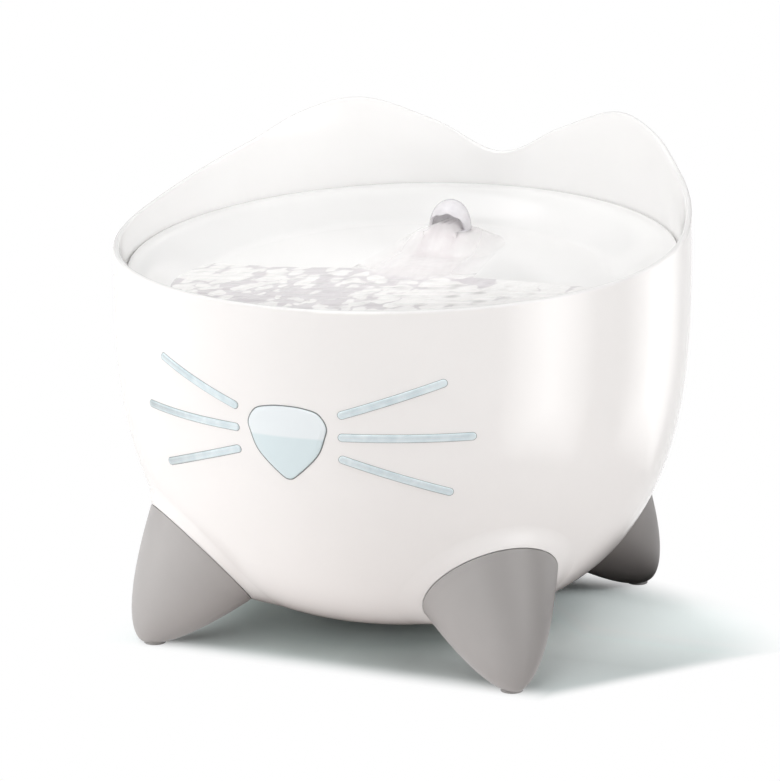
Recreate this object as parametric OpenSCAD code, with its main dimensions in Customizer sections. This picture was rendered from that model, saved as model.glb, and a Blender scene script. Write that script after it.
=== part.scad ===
// Pet water fountain: a round bowl with two ears, four splayed feet, a tilted
// drinking dish over the water, and a submersible pump with its filter.
// Millimetres. Origin on the floor under the bowl's axis, +Z up, nose facing -Y.

/* [Bowl] */
// Outer radius of the bowl at its widest
bowl_r = 124; // [112:1:140]
// Height of the widest ring above the floor
belly_z = 149.2; // [140:0.2:165]
// Height of the bowl's underside above the floor
base_z = 6.1; // [4:0.1:9]
// Exponent of the bowl's side curve along its height
curve_p = 2.56; // [2.2:0.02:3]
// Exponent of the bowl's side curve across its radius
curve_q = 2.95; // [2.4:0.05:3.2]
// Wall of the water tank
wall = 3; // [2.4:0.1:3.6]
// Height of the flat tank floor above the ground
floor_z = 12.5; // [12:0.1:15]
// Wall left at the tips of the ears
ear_wall = 2.5; // [2:0.1:3.4]
// Height of the hollow under the middle of the bowl
recess_h = 3; // [1:0.5:4]
// Radius of the hollow under the middle of the bowl
recess_r = 30; // [20:1:36]

/* [Rim and ears] */
// Height of the rim at the front
rim_front_z = 161.2; // [158:0.2:166]
// Height of the rim at the sides
rim_side_z = 173; // [170:0.5:178]
// Height of the ear tips
ear_peak_z = 211.3; // [204:0.1:220]
// Height of the dip between the ears
ear_dip_z = 186.8; // [182:0.2:194]
// Angle of each ear tip round the rim from the nose
ear_angle = 149; // [145:1:152]
// How far the ear tips lean in
ear_lean = 3; // [2:0.2:4]

/* [Dish] */
// Height of the dish's edge at the bowl's axis
seam_z = 160.5; // [159:0.5:162]
// Forward tilt of the dish
dish_tilt = 5.43; // [5:0.05:5.8]
// Gap between the dish and the bowl
dish_gap = 0.6; // [0.4:0.1:1]
// Thickness of the dish
dish_t = 2.3; // [1.8:0.1:2.8]
// Depth of the dish floor below its edge
dish_depth = 11.5; // [9:0.5:12.5]
// Radius of the dish's flat floor
dish_floor_r = 88; // [80:1:94]
// Width of the level band at the dish's edge
dish_band = 4.4; // [3.6:0.2:6]
// Width of the ledge that carries the dish
ledge_w = 3.5; // [2.5:0.5:4]
// Thickness of the ledge
ledge_t = 4; // [3:0.5:5]
// Width of each drain slot in the dish
drain_w = 3; // [2:0.2:3.6]
// Length of each drain slot in the dish
drain_len = 22; // [14:1:30]
// Number of drain slots
drain_count = 7; // [3:1:9]

/* [Spout] */
// Distance of the spout behind the bowl's axis
spout_y = 57; // [54:1:60]
// Height of the spout's seat above the floor
spout_z = 160.7; // [159:0.1:163]
// Radius of the mound's level top
mound_top_r = 10.5; // [10:0.5:13]
// Radius of the mound at its foot
mound_r = 25; // [20:1:30]
// Outer radius of the spout hood
hood_r = 9.5; // [8.5:0.1:10]
// Height of the spout hood
hood_h = 14; // [11:0.5:18]
// Wall of the spout hood
hood_t = 1.2; // [0.9:0.1:1.6]
// Height of the hood's mouth
mouth_h = 7.5; // [5:0.5:9]
// Width of the hood's mouth
mouth_w = 15; // [11:0.5:15.5]
// Length of the pouring lip in front of the hood
lip_len = 3.5; // [2:0.5:5]
// Width of the pouring lip
lip_w = 9; // [6:0.5:11]
// Radius of the water bore
water_r = 5; // [4:0.1:5.4]

/* [Feet] */
// Distance of the foot tips from the bowl's axis
foot_reach = 121; // [117:0.5:125]
// Angle of the front feet from the nose
foot_front_angle = 45; // [42:1:48]
// Angle of the rear feet from the nose
foot_rear_angle = 133; // [130:1:137]
// Lean of each foot's centreline from upright
foot_lean = 39.5; // [38:0.5:41]
// Distance from the tip to the seam between foot and bowl
foot_len = 45.5; // [44:0.5:48]
// Radius of the foot at that seam
foot_r = 29.2; // [27:0.2:31]
// Exponent of the foot's taper
foot_taper = 0.575; // [0.52:0.005:0.62]
// Lean of the seam's face from level
split_lean = 47.75; // [46:0.25:50]
// Wall of the foot
foot_wall = 3; // [2.4:0.1:4]
// Radius of the rubber pads
pad_r = 4.6; // [4:0.2:5]
// Thickness of the rubber pads
pad_t = 2.6; // [2:0.1:3.2]
// How far the pads stand out of the feet
pad_proud = 0.6; // [0.4:0.1:0.9]
// Radius of the foot screws
screw_r = 1.5; // [1.2:0.1:2]
// Length of the foot screws under the head
screw_len = 16; // [12:1:20]

/* [Face] */
// How far the nose window and whiskers stand out
face_proud = 0.6; // [0.3:0.1:0.9]
// Half width of the nose window
nose_half_w = 17; // [15:0.5:19]
// Height of the tip of the nose window
nose_low_z = 90.4; // [88:0.2:93]
// Height of the top of the nose window
nose_top_z = 121.6; // [119:0.2:124]
// Width of the window's flange behind the wall
flange_w = 3.5; // [2.5:0.5:5]
// Thickness of the window's flange
flange_t = 2; // [1.5:0.1:2.6]
// Thickness of the window's seal
seal_t = 1; // [0.8:0.1:1.4]
// Width of the whiskers
whisker_w = 3.6; // [3:0.1:4.2]
// Depth of the whisker grooves
groove_d = 1.6; // [1:0.1:1.8]
// Angle of the whiskers' inner ends from the nose
whisker_in = 10; // [9.5:0.1:11]
// Height of the middle whisker
whisker_mid_z = 110; // [108:0.5:112]

/* [Pump] */
// Height of the rotor's axis above the ground
pump_z = 38; // [37:0.5:42]
// Outer radius of the pump housing
pump_r = 16; // [15.4:0.2:16.8]
// Wall of the pump housing
pump_wall = 2; // [1.6:0.1:2.2]
// Front of the pump housing, behind the bowl's axis
pump_y = 14; // [12:0.5:16]
// Depth of the impeller chamber
chamber_d = 12; // [11:0.5:13]
// Thickness of the intake cover
cover_t = 3; // [2.4:0.2:3.6]
// Radius of the rotor magnet
magnet_r = 7.2; // [6.4:0.1:7.4]
// Length of the rotor magnet
magnet_len = 16; // [13:0.5:17]
// Running gap round the rotor magnet
magnet_gap = 0.5; // [0.4:0.1:0.8]
// Radius of the rotor shaft
shaft_r = 1.5; // [1.2:0.1:1.8]
// Running clearance between shaft and rotor
shaft_gap = 0.05; // [0.03:0.01:0.1]
// Radius of the impeller
impeller_r = 12.4; // [10:0.2:12.8]
// Number of impeller blades
blade_count = 6; // [4:1:8]
// Wall of the riser tube
tube_wall = 1.5; // [1.2:0.1:1.8]
// Radius of the suction cups
cup_r = 5; // [4:0.2:5.4]
// Half the distance between left and right suction cups
cup_x = 10; // [8:0.5:11]

/* [Filter] */
// Width of the filter cassette
cassette_w = 61; // [50:1:66]
// Length of the cassette, front to back
cassette_len = 58; // [46:1:62]
// Height of the cassette
cassette_h = 14; // [12:0.5:14.5]
// Middle of the cassette behind the bowl's axis
cassette_y = -8; // [-14:1:-4]
// Height of the tray's underside above the ground
tray_z = 118; // [112:1:119]
// Wall of the tray
tray_wall = 1.6; // [1.2:0.1:2]
// Radius of the tray's pegs
peg_r = 2.5; // [2:0.1:3]
// Depth of the peg sockets under the dish
peg_depth = 5; // [3:0.5:6]

/* [Fits] */
// Clearance of parts that slide in or out
slide_gap = 0.3; // [0.3:0.05:0.4]
// Clearance of parts that stay put
snug_gap = 0.05; // [0.03:0.01:0.1]
// Radius of the power lead
cord_r = 2; // [1.6:0.1:2.4]
// Height of the power lead's grommet
grommet_z = 120; // [112:1:122]

/* [Hidden] */
$fn = 64;

// Colours
white = "whitesmoke";
grey = "darkgray";
aqua = [0.75, 0.87, 0.9];
lilac = [0.8, 0.78, 0.84];
charcoal = "dimgray";

// Reach of cutting blocks, well past the bowl
far = 3 * bowl_r;
// Overshoot of cuts through a face
cut = 1;

// ---- Bowl outline ----
curve_steps = 24;
lean_steps = 5;
// Point of the bowl's curve at angle a, shrunk inwards by d
function curve_point(a, d = 0) = [
    (bowl_r - d) * pow(cos(a), 2 / curve_q),
    belly_z - (belly_z - base_z - d) * pow(sin(a), 2 / curve_p)
];
// Angle at which the curve, shrunk by d, passes the height z
function curve_angle(z, d = 0) = asin(pow((belly_z - z) / (belly_z - base_z - d), curve_p / 2));
// Radius of the curve, shrunk by d, at the height z
function curve_radius(z, d = 0) = curve_point(curve_angle(z, d), d)[0];
// Inward lean of the wall above the belly
function lean(z) = ear_lean * pow((z - belly_z) / (ear_peak_z - belly_z), 2);
// Curve from the height z0 down to z1, shrunk by d
function curve_part(z0, z1, d, steps) = [
    for (i = [0:steps])
        curve_point(curve_angle(z0, d) + (curve_angle(z1, d) - curve_angle(z0, d)) * i / steps, d)
];

rim_in_r = bowl_r - ear_lean - ear_wall;
ledge_in_r = rim_in_r - ledge_w;
// The tank's curve gives way to a straight neck this far under the belly
neck_drop = 17.1;
neck_z = belly_z - neck_drop;
neck_h = 3;
top_z = ear_peak_z + cut;

// Tilts a child from level into the plane of the dish's edge
module tilted() {
    translate([0, 0, seam_z]) rotate([dish_tilt, 0, 0]) children();
}

// Solid of the bowl's outside, grown outwards by grow
module outer_bowl(grow = 0) {
    rotate_extrude($fn = 96) polygon(concat(
        [[0, top_z]],
        [for (i = [lean_steps:-1:1])
            let (z = belly_z + (top_z - belly_z) * i / lean_steps) [bowl_r + grow - lean(z), z]],
        [for (i = [0:curve_steps]) curve_point(90 * i / curve_steps, -grow)]
    ));
}

// Space for the water, and for the dish above it
module tank_space() {
    rotate_extrude($fn = 96) polygon(concat(
        [[0, top_z + cut], [rim_in_r, top_z + cut], [rim_in_r, neck_z + neck_h]],
        curve_part(neck_z, floor_z, wall, curve_steps),
        [[0, floor_z]]
    ));
}

// Band that follows the bowl's wall from depth d0 out to depth d1, between two heights
module wall_band(z0, z1, d0, d1) {
    band_steps = 8;
    far_side = curve_part(z1, z0, d1, band_steps);
    near_side = curve_part(z1, z0, d0, band_steps);
    rotate_extrude($fn = 96)
        polygon(concat(far_side, [for (i = [band_steps:-1:0]) near_side[i]]));
}

// ---- Smooth outlines ----
// Catmull-Rom point between b and c, at t from 0 to 1
function spline_at(a, b, c, d, t) =
    0.5 * (2 * b + (c - a) * t + (2 * a - 5 * b + 4 * c - d) * t * t + (3 * b - a - 3 * c + d) * t * t * t);
// Smooth open line through points p, whose first and last only set the direction
function open_spline(p, n) = concat(
    [for (i = [1:len(p) - 3], j = [0:n - 1]) spline_at(p[i - 1], p[i], p[i + 1], p[i + 2], j / n)],
    [p[len(p) - 2]]
);
// Smooth closed line through points p
function closed_spline(p, n) = [
    for (i = [0:len(p) - 1], j = [0:n - 1])
        let (m = len(p)) spline_at(p[(i + m - 1) % m], p[i], p[(i + 1) % m], p[(i + 2) % m], j / n)
];
// Anticlockwise closed outline p moved outwards by d
function outset(p, d) = [
    for (i = [0:len(p) - 1])
        let (m = len(p), t = p[(i + 1) % m] - p[(i + m - 1) % m]) p[i] + d * [t[1], -t[0]] / norm(t)
];

// ---- Rim ----
// Rim height against the angle from the nose; the first and last points repeat by symmetry
rim_rise = ear_peak_z - rim_side_z;
// Rise of the rim by 50 degrees from the nose
front_rise = 3;
rim_line = [
    [-50, rim_front_z + front_rise],
    [0, rim_front_z],
    [50, rim_front_z + front_rise],
    [90, rim_side_z],
    [120, rim_side_z + 0.48 * rim_rise],
    [ear_angle - 14, rim_side_z + 0.85 * rim_rise],
    [ear_angle, ear_peak_z],
    [ear_angle + 16, ear_dip_z + 0.56 * (ear_peak_z - ear_dip_z)],
    [180, ear_dip_z],
    [360 - ear_angle - 16, ear_dip_z + 0.56 * (ear_peak_z - ear_dip_z)]
];

// Rim points all the way round, the second half mirrored from the first
rim_half = open_spline(rim_line, 5);
rim_ring = concat(
    rim_half,
    [for (i = [len(rim_half) - 2:-1:1]) [360 - rim_half[i][0], rim_half[i][1]]]
);

// Thick ring of everything above the rim line
module above_rim() {
    n = len(rim_ring);
    in_r = 0.8 * bowl_r;
    out_r = 1.2 * bowl_r;
    points = [
        for (p = rim_ring, q = [[in_r, p[1]], [out_r, p[1]], [out_r, far], [in_r, far]])
            [q[0] * sin(p[0]), -q[0] * cos(p[0]), q[1]]
    ];
    faces = [
        for (i = [0:n - 1], k = [0:3], half = [0, 1])
            let (j = 4 * ((i + 1) % n), m = (k + 1) % 4)
                half == 0 ? [4 * i + k, 4 * i + m, j + m] : [4 * i + k, j + m, j + k]
    ];
    polyhedron(points, faces);
}

// ---- Feet ----
foot_angles = [-foot_front_angle, foot_front_angle, -foot_rear_angle, foot_rear_angle];
// Radius of the foot at the distance s from its tip
function foot_radius(s) = foot_r * pow(s / foot_len, foot_taper);
foot_steps = 12;
// The foot's cone runs on into the bowl's wall as its collar
foot_full = 1.75 * foot_len;
// Lowest point of the round tip is where its slope is level
tip_s = pow(foot_r * foot_taper * tan(foot_lean) / foot_len, 1 / (1 - foot_taper)) * foot_len;
tip_z = foot_radius(tip_s) * sin(foot_lean) - tip_s * cos(foot_lean);
pad_x = foot_reach - tip_s * sin(foot_lean) - foot_radius(tip_s) * cos(foot_lean);
head_r = 2 * screw_r;
head_t = 2.4;
// Seat of the bowl's post in the foot, and the thickness of the foot under it
seat_s = 11;
seat_t = 3.5;
head_s = seat_s - seat_t;
boss_r = 3.4 * screw_r;

// Puts a child drawn in the plane of a foot, pointing out along +X, at the angle a from the nose
module at_foot(a) {
    rotate([0, 0, a - 90]) children();
}

// Puts +Z along the foot's centreline, from the tip up
module foot_axis() {
    translate([foot_reach, 0, tip_z]) rotate([0, -foot_lean, 0]) children();
}

// Puts +Z along the foot's screw, from the pad up
module screw_axis() {
    translate([pad_x, 0, 0]) rotate([0, -foot_lean, 0]) children();
}

// Foot and collar as one round body, shrunk by d, from the distance s0 up
module foot_form(d = 0, s0 = 0) {
    foot_axis() rotate_extrude() polygon(concat(
        [[0, s0]],
        [for (i = [s0 > 0 ? 0 : 1:foot_steps])
            let (s = s0 + (foot_full - s0) * pow(i / foot_steps, 1.6)) [foot_radius(s) - d, s]],
        [[0, foot_full]]
    ));
}

// Half space under the seam between foot and collar
module under_split() {
    foot_axis() translate([0, 0, foot_len]) rotate([0, foot_lean - split_lean, 0])
        translate([-far / 2, -far / 2, -far]) cube(far);
}

module collar() {
    difference() {
        foot_form();
        under_split();
    }
}

module foot(a) {
    color(grey) at_foot(a) difference() {
        intersection() {
            foot_form();
            under_split();
        }
        difference() {
            foot_form(foot_wall, seat_s + foot_wall);
            screw_axis() cylinder(r = boss_r + foot_wall, h = seat_s + 2 * foot_wall);
        }
        outer_bowl(snug_gap);
        translate([-far / 2, -far / 2, pad_proud - far]) cube(far);
        translate([pad_x, 0, 0]) cylinder(r = pad_r + snug_gap, h = pad_t);
        screw_axis() cylinder(r = head_r + snug_gap, h = head_s);
        screw_axis() cylinder(r = screw_r + snug_gap, h = foot_len);
        screw_axis() translate([0, 0, seat_s]) cylinder(r = boss_r + snug_gap, h = foot_len);
    }
}

module foot_screws() {
    color("silver") for (a = foot_angles) at_foot(a) screw_axis() {
        translate([0, 0, head_s - head_t]) cylinder(r = head_r, h = head_t);
        translate([0, 0, head_s]) cylinder(r = screw_r, h = screw_len);
    }
}

module foot_pads() {
    color(charcoal) for (a = foot_angles)
        at_foot(a) translate([pad_x, 0, 0]) cylinder(r = pad_r, h = pad_t);
}

// Post that a foot is screwed to
module foot_post() {
    screw_axis() translate([0, 0, seat_s]) cylinder(r = boss_r, h = foot_len);
}

// ---- Face ----
nose_h = nose_top_z - nose_low_z;
nose_line = closed_spline([
    [0, nose_low_z],
    [0.25 * nose_half_w, nose_low_z + 0.075 * nose_h],
    [0.68 * nose_half_w, nose_low_z + 0.35 * nose_h],
    [0.95 * nose_half_w, nose_low_z + 0.60 * nose_h],
    [nose_half_w, nose_low_z + 0.76 * nose_h],
    [0.80 * nose_half_w, nose_low_z + 0.925 * nose_h],
    [0.42 * nose_half_w, nose_low_z + 0.985 * nose_h],
    [0, nose_top_z],
    [-0.42 * nose_half_w, nose_low_z + 0.985 * nose_h],
    [-0.80 * nose_half_w, nose_low_z + 0.925 * nose_h],
    [-nose_half_w, nose_low_z + 0.76 * nose_h],
    [-0.95 * nose_half_w, nose_low_z + 0.60 * nose_h],
    [-0.68 * nose_half_w, nose_low_z + 0.35 * nose_h],
    [-0.25 * nose_half_w, nose_low_z + 0.075 * nose_h]
], 3);

// Prism of the nose outline, grown by d, through the front wall
module nose_prism(d = 0) {
    rotate([90, 0, 0]) translate([0, 0, bowl_r / 2]) linear_extrude(height = bowl_r)
        polygon(outset(nose_line, d));
}

// Front wall between the depths d0 and d1, at the height of the nose
module nose_band(d0, d1) {
    wall_band(nose_low_z - 2 * flange_w, nose_top_z + 2 * flange_w, d0, d1);
}

module nose_window() {
    flange_d = wall + seal_t;
    color(aqua) {
        intersection() {
            nose_prism(-snug_gap);
            nose_band(flange_d + flange_t, -face_proud);
        }
        intersection() {
            nose_prism(flange_w);
            nose_band(flange_d + flange_t, flange_d);
        }
    }
}

module nose_seal() {
    color(charcoal) intersection() {
        difference() {
            nose_prism(flange_w);
            nose_prism(snug_gap);
        }
        nose_band(wall + seal_t - snug_gap, wall + snug_gap);
    }
}

// The upper and lower whisker start this far from the middle one
whisker_fan = 9.3;
// Height that each of them gains or loses to its outer end
whisker_rise = 13.5;
whisker_mid_rise = 0.5;
// Each whisker: height of its inner end, angle and height of its outer end
whisker_top = [whisker_mid_z + whisker_fan, 30.4, whisker_mid_z + whisker_fan + whisker_rise];
whisker_middle = [whisker_mid_z, 36, whisker_mid_z + whisker_mid_rise];
whisker_bottom = [whisker_mid_z - whisker_fan, 31.8, whisker_mid_z - whisker_fan - whisker_rise];

// Round-ended bar through the wall along the whisker w on the right side, narrowed by gap
module whisker_bar(w, gap) {
    mid = (whisker_in + w[1]) / 2;
    half = curve_radius(w[0]) * sin((w[1] - whisker_in) / 2) - whisker_w / 2;
    rise = (w[2] - w[0]) / 2;
    length = 2 * norm([half, rise]);
    bar_r = whisker_w / 2 - gap;
    rotate([0, 0, mid]) rotate([90, 0, 0]) translate([0, (w[0] + w[2]) / 2, bowl_r / 2])
        rotate([0, 0, atan2(rise, half)]) linear_extrude(height = bowl_r) {
            square([length, 2 * bar_r], center = true);
            for (side = [-1, 1]) translate([side * length / 2, 0]) circle(r = bar_r);
        }
}

module whisker_shape(w, gap, deep, proud) {
    intersection() {
        whisker_bar(w, gap);
        wall_band(min(w[0], w[2]) - whisker_w, max(w[0], w[2]) + whisker_w, deep, -proud);
    }
}

module whisker(w, side) {
    color(aqua) mirror([side > 0 ? 0 : 1, 0, 0]) whisker_shape(w, snug_gap, groove_d - snug_gap, face_proud);
}

// ---- Grommet of the power lead ----
grommet_r = 3 * cord_r;
grommet_rim = 2.2;
grommet_lip = 1;
grommet_sunk = 0.4;
grommet_out_y = curve_radius(grommet_z) - grommet_sunk;
grommet_wall_r = curve_radius(grommet_z - grommet_r, wall);
grommet_in_y = sqrt(pow(grommet_wall_r, 2) - pow(grommet_r + grommet_rim, 2)) - 2 * snug_gap;

module grommet_body(d) {
    translate([0, 0, grommet_z]) rotate([-90, 0, 0]) {
        translate([0, 0, grommet_out_y - grommet_lip])
            cylinder(r = grommet_r + grommet_rim - d, h = grommet_lip + (d > 0 ? 0 : far));
        translate([0, 0, grommet_in_y - cut]) cylinder(r = grommet_r - d, h = bowl_r - grommet_in_y);
    }
}

module cable_grommet() {
    color(charcoal) difference() {
        intersection() {
            union() {
                grommet_body(snug_gap);
                translate([0, grommet_in_y, grommet_z]) rotate([90, 0, 0])
                    cylinder(r = grommet_r + grommet_rim, h = 2 * grommet_lip);
            }
            translate([-far / 2, -far + grommet_out_y, -far / 2]) cube(far);
        }
        translate([0, grommet_in_y - far / 2, grommet_z]) rotate([-90, 0, 0])
            cylinder(r = cord_r, h = far);
    }
}

// ---- Bowl ----
module ledge() {
    intersection() {
        difference() {
            cylinder(r = rim_in_r + cut, h = far, $fn = 96);
            translate([0, 0, -cut]) cylinder(r = ledge_in_r, h = far + 2 * cut, $fn = 96);
        }
        tilted() translate([-far / 2, -far / 2, -dish_t - ledge_t]) cube([far, far, ledge_t]);
    }
}

module reservoir_bowl() {
    color(white) difference() {
        union() {
            difference() {
                union() {
                    outer_bowl();
                    for (a = foot_angles) at_foot(a) {
                        collar();
                        foot_post();
                    }
                }
                tank_space();
                above_rim();
            }
            ledge();
        }
        translate([0, 0, base_z - cut]) cylinder(r = recess_r, h = recess_h + cut);
        nose_prism();
        for (side = [0, 1], w = [whisker_top, whisker_middle, whisker_bottom])
            mirror([side, 0, 0]) whisker_shape(w, 0, groove_d, cut);
        grommet_body(0);
        for (a = foot_angles) at_foot(a) screw_axis()
            cylinder(r = screw_r + snug_gap, h = head_s + screw_len + cut);
    }
}

// ---- Dish ----
dish_r = rim_in_r - dish_gap;
band_in_r = dish_r - dish_band;
slope_steps = 8;
// Height of the dish's top face, in the tilted plane, at the radius r
function dish_fall(r) =
    -dish_depth * (1 - cos(180 * min(1, max(0, (band_in_r - r) / (band_in_r - dish_floor_r))))) / 2;
// Height above ground of a point w above the dish's plane, at the distance y behind the axis
function dish_z(y, w) = seam_z + y * tan(dish_tilt) + w / cos(dish_tilt);
dish_line = [
    for (i = [0:slope_steps])
        let (r = band_in_r - (band_in_r - dish_floor_r) * i / slope_steps) [r, dish_fall(r)]
];
tube_out_r = water_r + tube_wall;
socket_wall = 2;
socket_r = tube_out_r + slide_gap;
// Depth of the tube's socket under the dish
socket_len = 14;
socket_low_z = dish_z(spout_y, -dish_depth) - socket_len;
// The tube ends this far under the spout's seat
tube_drop = 8;
tube_top_z = spout_z - tube_drop;
seal_h = 4;
seal_drop = 2;
// The pegs stand half in the side walls of the tray
peg_x = cassette_w / 2 + slide_gap + tray_wall + 0.4 * peg_r;
peg_pitch = 0.68 * cassette_len;
peg_ys = [cassette_y - peg_pitch / 2, cassette_y + peg_pitch / 2];
drain_pitch = 2 * drain_w;
// The slope's underside lies this far in from its top, which keeps the wall even
slope_shift = 0.4 * dish_t;

module drinking_dish() {
    color(white) difference() {
        union() {
            intersection() {
                tilted() rotate_extrude($fn = 96) polygon(concat(
                    [[0, -dish_depth]],
                    [for (i = [slope_steps:-1:0]) dish_line[i]],
                    [[bowl_r, 0], [bowl_r, -dish_t]],
                    [for (p = dish_line) [p[0] - slope_shift, p[1] - dish_t]],
                    [[0, -dish_depth - dish_t]]
                ));
                cylinder(r = dish_r, h = far, $fn = 96);
            }
            mound_z = dish_z(spout_y - mound_r, -dish_depth - dish_t / 2);
            translate([0, spout_y, mound_z])
                cylinder(r1 = mound_r, r2 = mound_top_r, h = spout_z - snug_gap - mound_z);
            translate([0, spout_y, socket_low_z])
                cylinder(r = socket_r + socket_wall, h = spout_z - socket_low_z - dish_t);
            for (x = [-peg_x, peg_x], y = peg_ys)
                translate([x, y, dish_z(y, -dish_depth - dish_t) - peg_depth])
                    cylinder(r = peg_r + slide_gap + socket_wall, h = peg_depth + dish_t / 2);
        }
        translate([0, spout_y, socket_low_z - cut]) cylinder(r = water_r + slide_gap, h = far);
        translate([0, spout_y, socket_low_z - cut])
            cylinder(r = socket_r, h = tube_top_z + slide_gap - socket_low_z + cut);
        for (x = [-peg_x, peg_x], y = peg_ys)
            translate([x, y, dish_z(y, -dish_depth - dish_t) - peg_depth - cut])
                cylinder(r = peg_r + slide_gap, h = peg_depth + cut);
        for (i = [0:drain_count - 1])
            translate([(i - (drain_count - 1) / 2) * drain_pitch, cassette_y, seam_z])
                cube([drain_w, drain_len, far / 2], center = true);
    }
}

// ---- Spout hood ----
collar_len = 5;
dome_power = 0.85;
// Solid dome of the hood's outside, shrunk by d
module hood_dome(d) {
    steps = 10;
    rotate_extrude() polygon(concat(
        [[0, 0]],
        [for (i = [0:steps])
            let (a = 90 * i / steps) [(hood_r - d) * cos(a), (hood_h - d) * pow(sin(a), dome_power)]]
    ));
}

module spout_hood() {
    color(lilac) translate([0, spout_y, spout_z]) difference() {
        union() {
            difference() {
                hood_dome(0);
                intersection() {
                    hood_dome(hood_t);
                    translate([-far / 2, -far / 2, hood_t]) cube(far);
                }
                translate([-mouth_w / 2, -hood_r - cut, hood_t]) cube([mouth_w, hood_r + cut, mouth_h]);
            }
            translate([-lip_w / 2, -hood_r - lip_len, 0]) cube([lip_w, lip_len + hood_r / 2, hood_t]);
            translate([0, 0, -collar_len]) cylinder(r = water_r, h = collar_len + hood_t);
        }
        translate([0, 0, -collar_len - cut]) cylinder(r = water_r - hood_t, h = collar_len + hood_t + 2 * cut);
    }
}

// ---- Filter ----
tray_lip = 1.5;
tray_h = cassette_h + tray_wall + tray_lip;
frame_wall = 1.6;
slot_w = 3;
slot_pitch = 6;
slots_w = 0.8 * cassette_w;
slots_len = 0.7 * cassette_len;
cassette_z = tray_z + tray_wall + slide_gap;
media_w = cassette_w - 2 * frame_wall - 2 * slide_gap;
media_len = cassette_len - 2 * frame_wall - 2 * slide_gap;
media_h = cassette_h - 2 * frame_wall - 2 * slide_gap;
media_z = cassette_z + frame_wall + slide_gap;
// Shares of the filter's height at which the resin and the carbon end
resin_top = 0.3;
carbon_top = 0.6;

// Row of slots along Y, centred, cut through the height h
module slot_row(width, length, h) {
    count = floor(width / slot_pitch);
    for (i = [0:count - 1])
        translate([(i - (count - 1) / 2) * slot_pitch, 0, 0]) cube([slot_w, length, h], center = true);
}

module filter_tray() {
    out_w = cassette_w + 2 * slide_gap + 2 * tray_wall;
    out_len = cassette_len + slide_gap + tray_wall;
    front_y = cassette_y - cassette_len / 2;
    color("lightgray") difference() {
        union() {
            translate([-out_w / 2, front_y, tray_z]) cube([out_w, out_len, tray_h]);
            for (x = [-peg_x, peg_x], y = peg_ys) translate([x, y, tray_z]) {
                top = dish_z(y, -dish_depth - dish_t) - slide_gap - tray_z;
                cylinder(r = peg_r, h = top);
            }
        }
        translate([tray_wall - out_w / 2, front_y - cut, tray_z + tray_wall])
            cube([out_w - 2 * tray_wall, out_len - tray_wall + cut, tray_h]);
        translate([0, cassette_y, tray_z]) slot_row(slots_w, slots_len, 3 * tray_wall);
    }
}

module filter_frame() {
    color("white") translate([0, cassette_y, cassette_z]) difference() {
        translate([-cassette_w / 2, -cassette_len / 2, 0]) cube([cassette_w, cassette_len, cassette_h]);
        translate([-cassette_w / 2 + frame_wall, -cassette_len / 2 + frame_wall, frame_wall])
            cube([cassette_w - 2 * frame_wall, cassette_len - 2 * frame_wall, cassette_h - 2 * frame_wall]);
        slot_row(slots_w, slots_len, 3 * cassette_h);
    }
}

// One layer of the filter, from the share a to the share b of its height
module media_layer(a, b) {
    translate([-media_w / 2, cassette_y - media_len / 2, media_z + a * media_h])
        cube([media_w, media_len, (b - a) * media_h]);
}

module filter_resin() { color("khaki") media_layer(0, resin_top); }
module filter_carbon() { color("black") media_layer(resin_top, carbon_top); }
module filter_foam() { color("skyblue") media_layer(carbon_top, 1); }

// ---- Pump ----
chamber_wall = 2;
well_wall = 1.2;
well_r = magnet_r + magnet_gap;
well_end = 2;
bush_t = 2;
bush_r = 3.4;
boss_wall = 1.4;
side_gap = 0.5;
// The outlet sits this far behind the middle of the impeller chamber
outlet_shift = 0.5;
chamber_y = spout_y - chamber_d / 2 - outlet_shift;
cover_y = chamber_y + chamber_d;
spigot_len = 1.5;
spigot_wall = 1.2;
cover_rim = 3;
foam_r = 13;
hub_back = 0.8;
magnet_y = chamber_y + hub_back - magnet_len;
well_y = magnet_y - side_gap - bush_t;
motor_y = well_y - well_end;
hub_y = chamber_y + hub_back;
impeller_end_y = cover_y - spigot_len - side_gap;
motor_in_r = pump_r - pump_wall;
cap_t = 2;
cup_h = 5;
plinth_low_z = floor_z + cup_h;
plinth_edge = 3.4;
// Stub that holds the riser tube, above the housing
stub_h = 7;
socket_d = 5.5;
stub_top_z = pump_z + pump_r + stub_h;
stub_wall = 2;
gland_inset = 7;
gland_y = pump_y + gland_inset;
gland_r = 2.2 * cord_r;
gland_h = 6;
gland_proud = 3;
gland_top_z = pump_z + pump_r + gland_h;
cup_inset = 4;
cup_pitch = 20;
cup_ys = [pump_y + cup_inset, pump_y + cup_inset + cup_pitch];
stem_r = 2;
stem_h = 3;
stem_end_gap = 0.2;
led_r = 4;
led_proud = 0.5;
board_r = 10;
board_t = 1.2;
led_board_y = pump_y + cap_t;

// Puts +Z along the rotor, from the bowl's axis backwards
module pump_axis(y) {
    translate([0, y, pump_z]) rotate([-90, 0, 0]) children();
}

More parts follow.
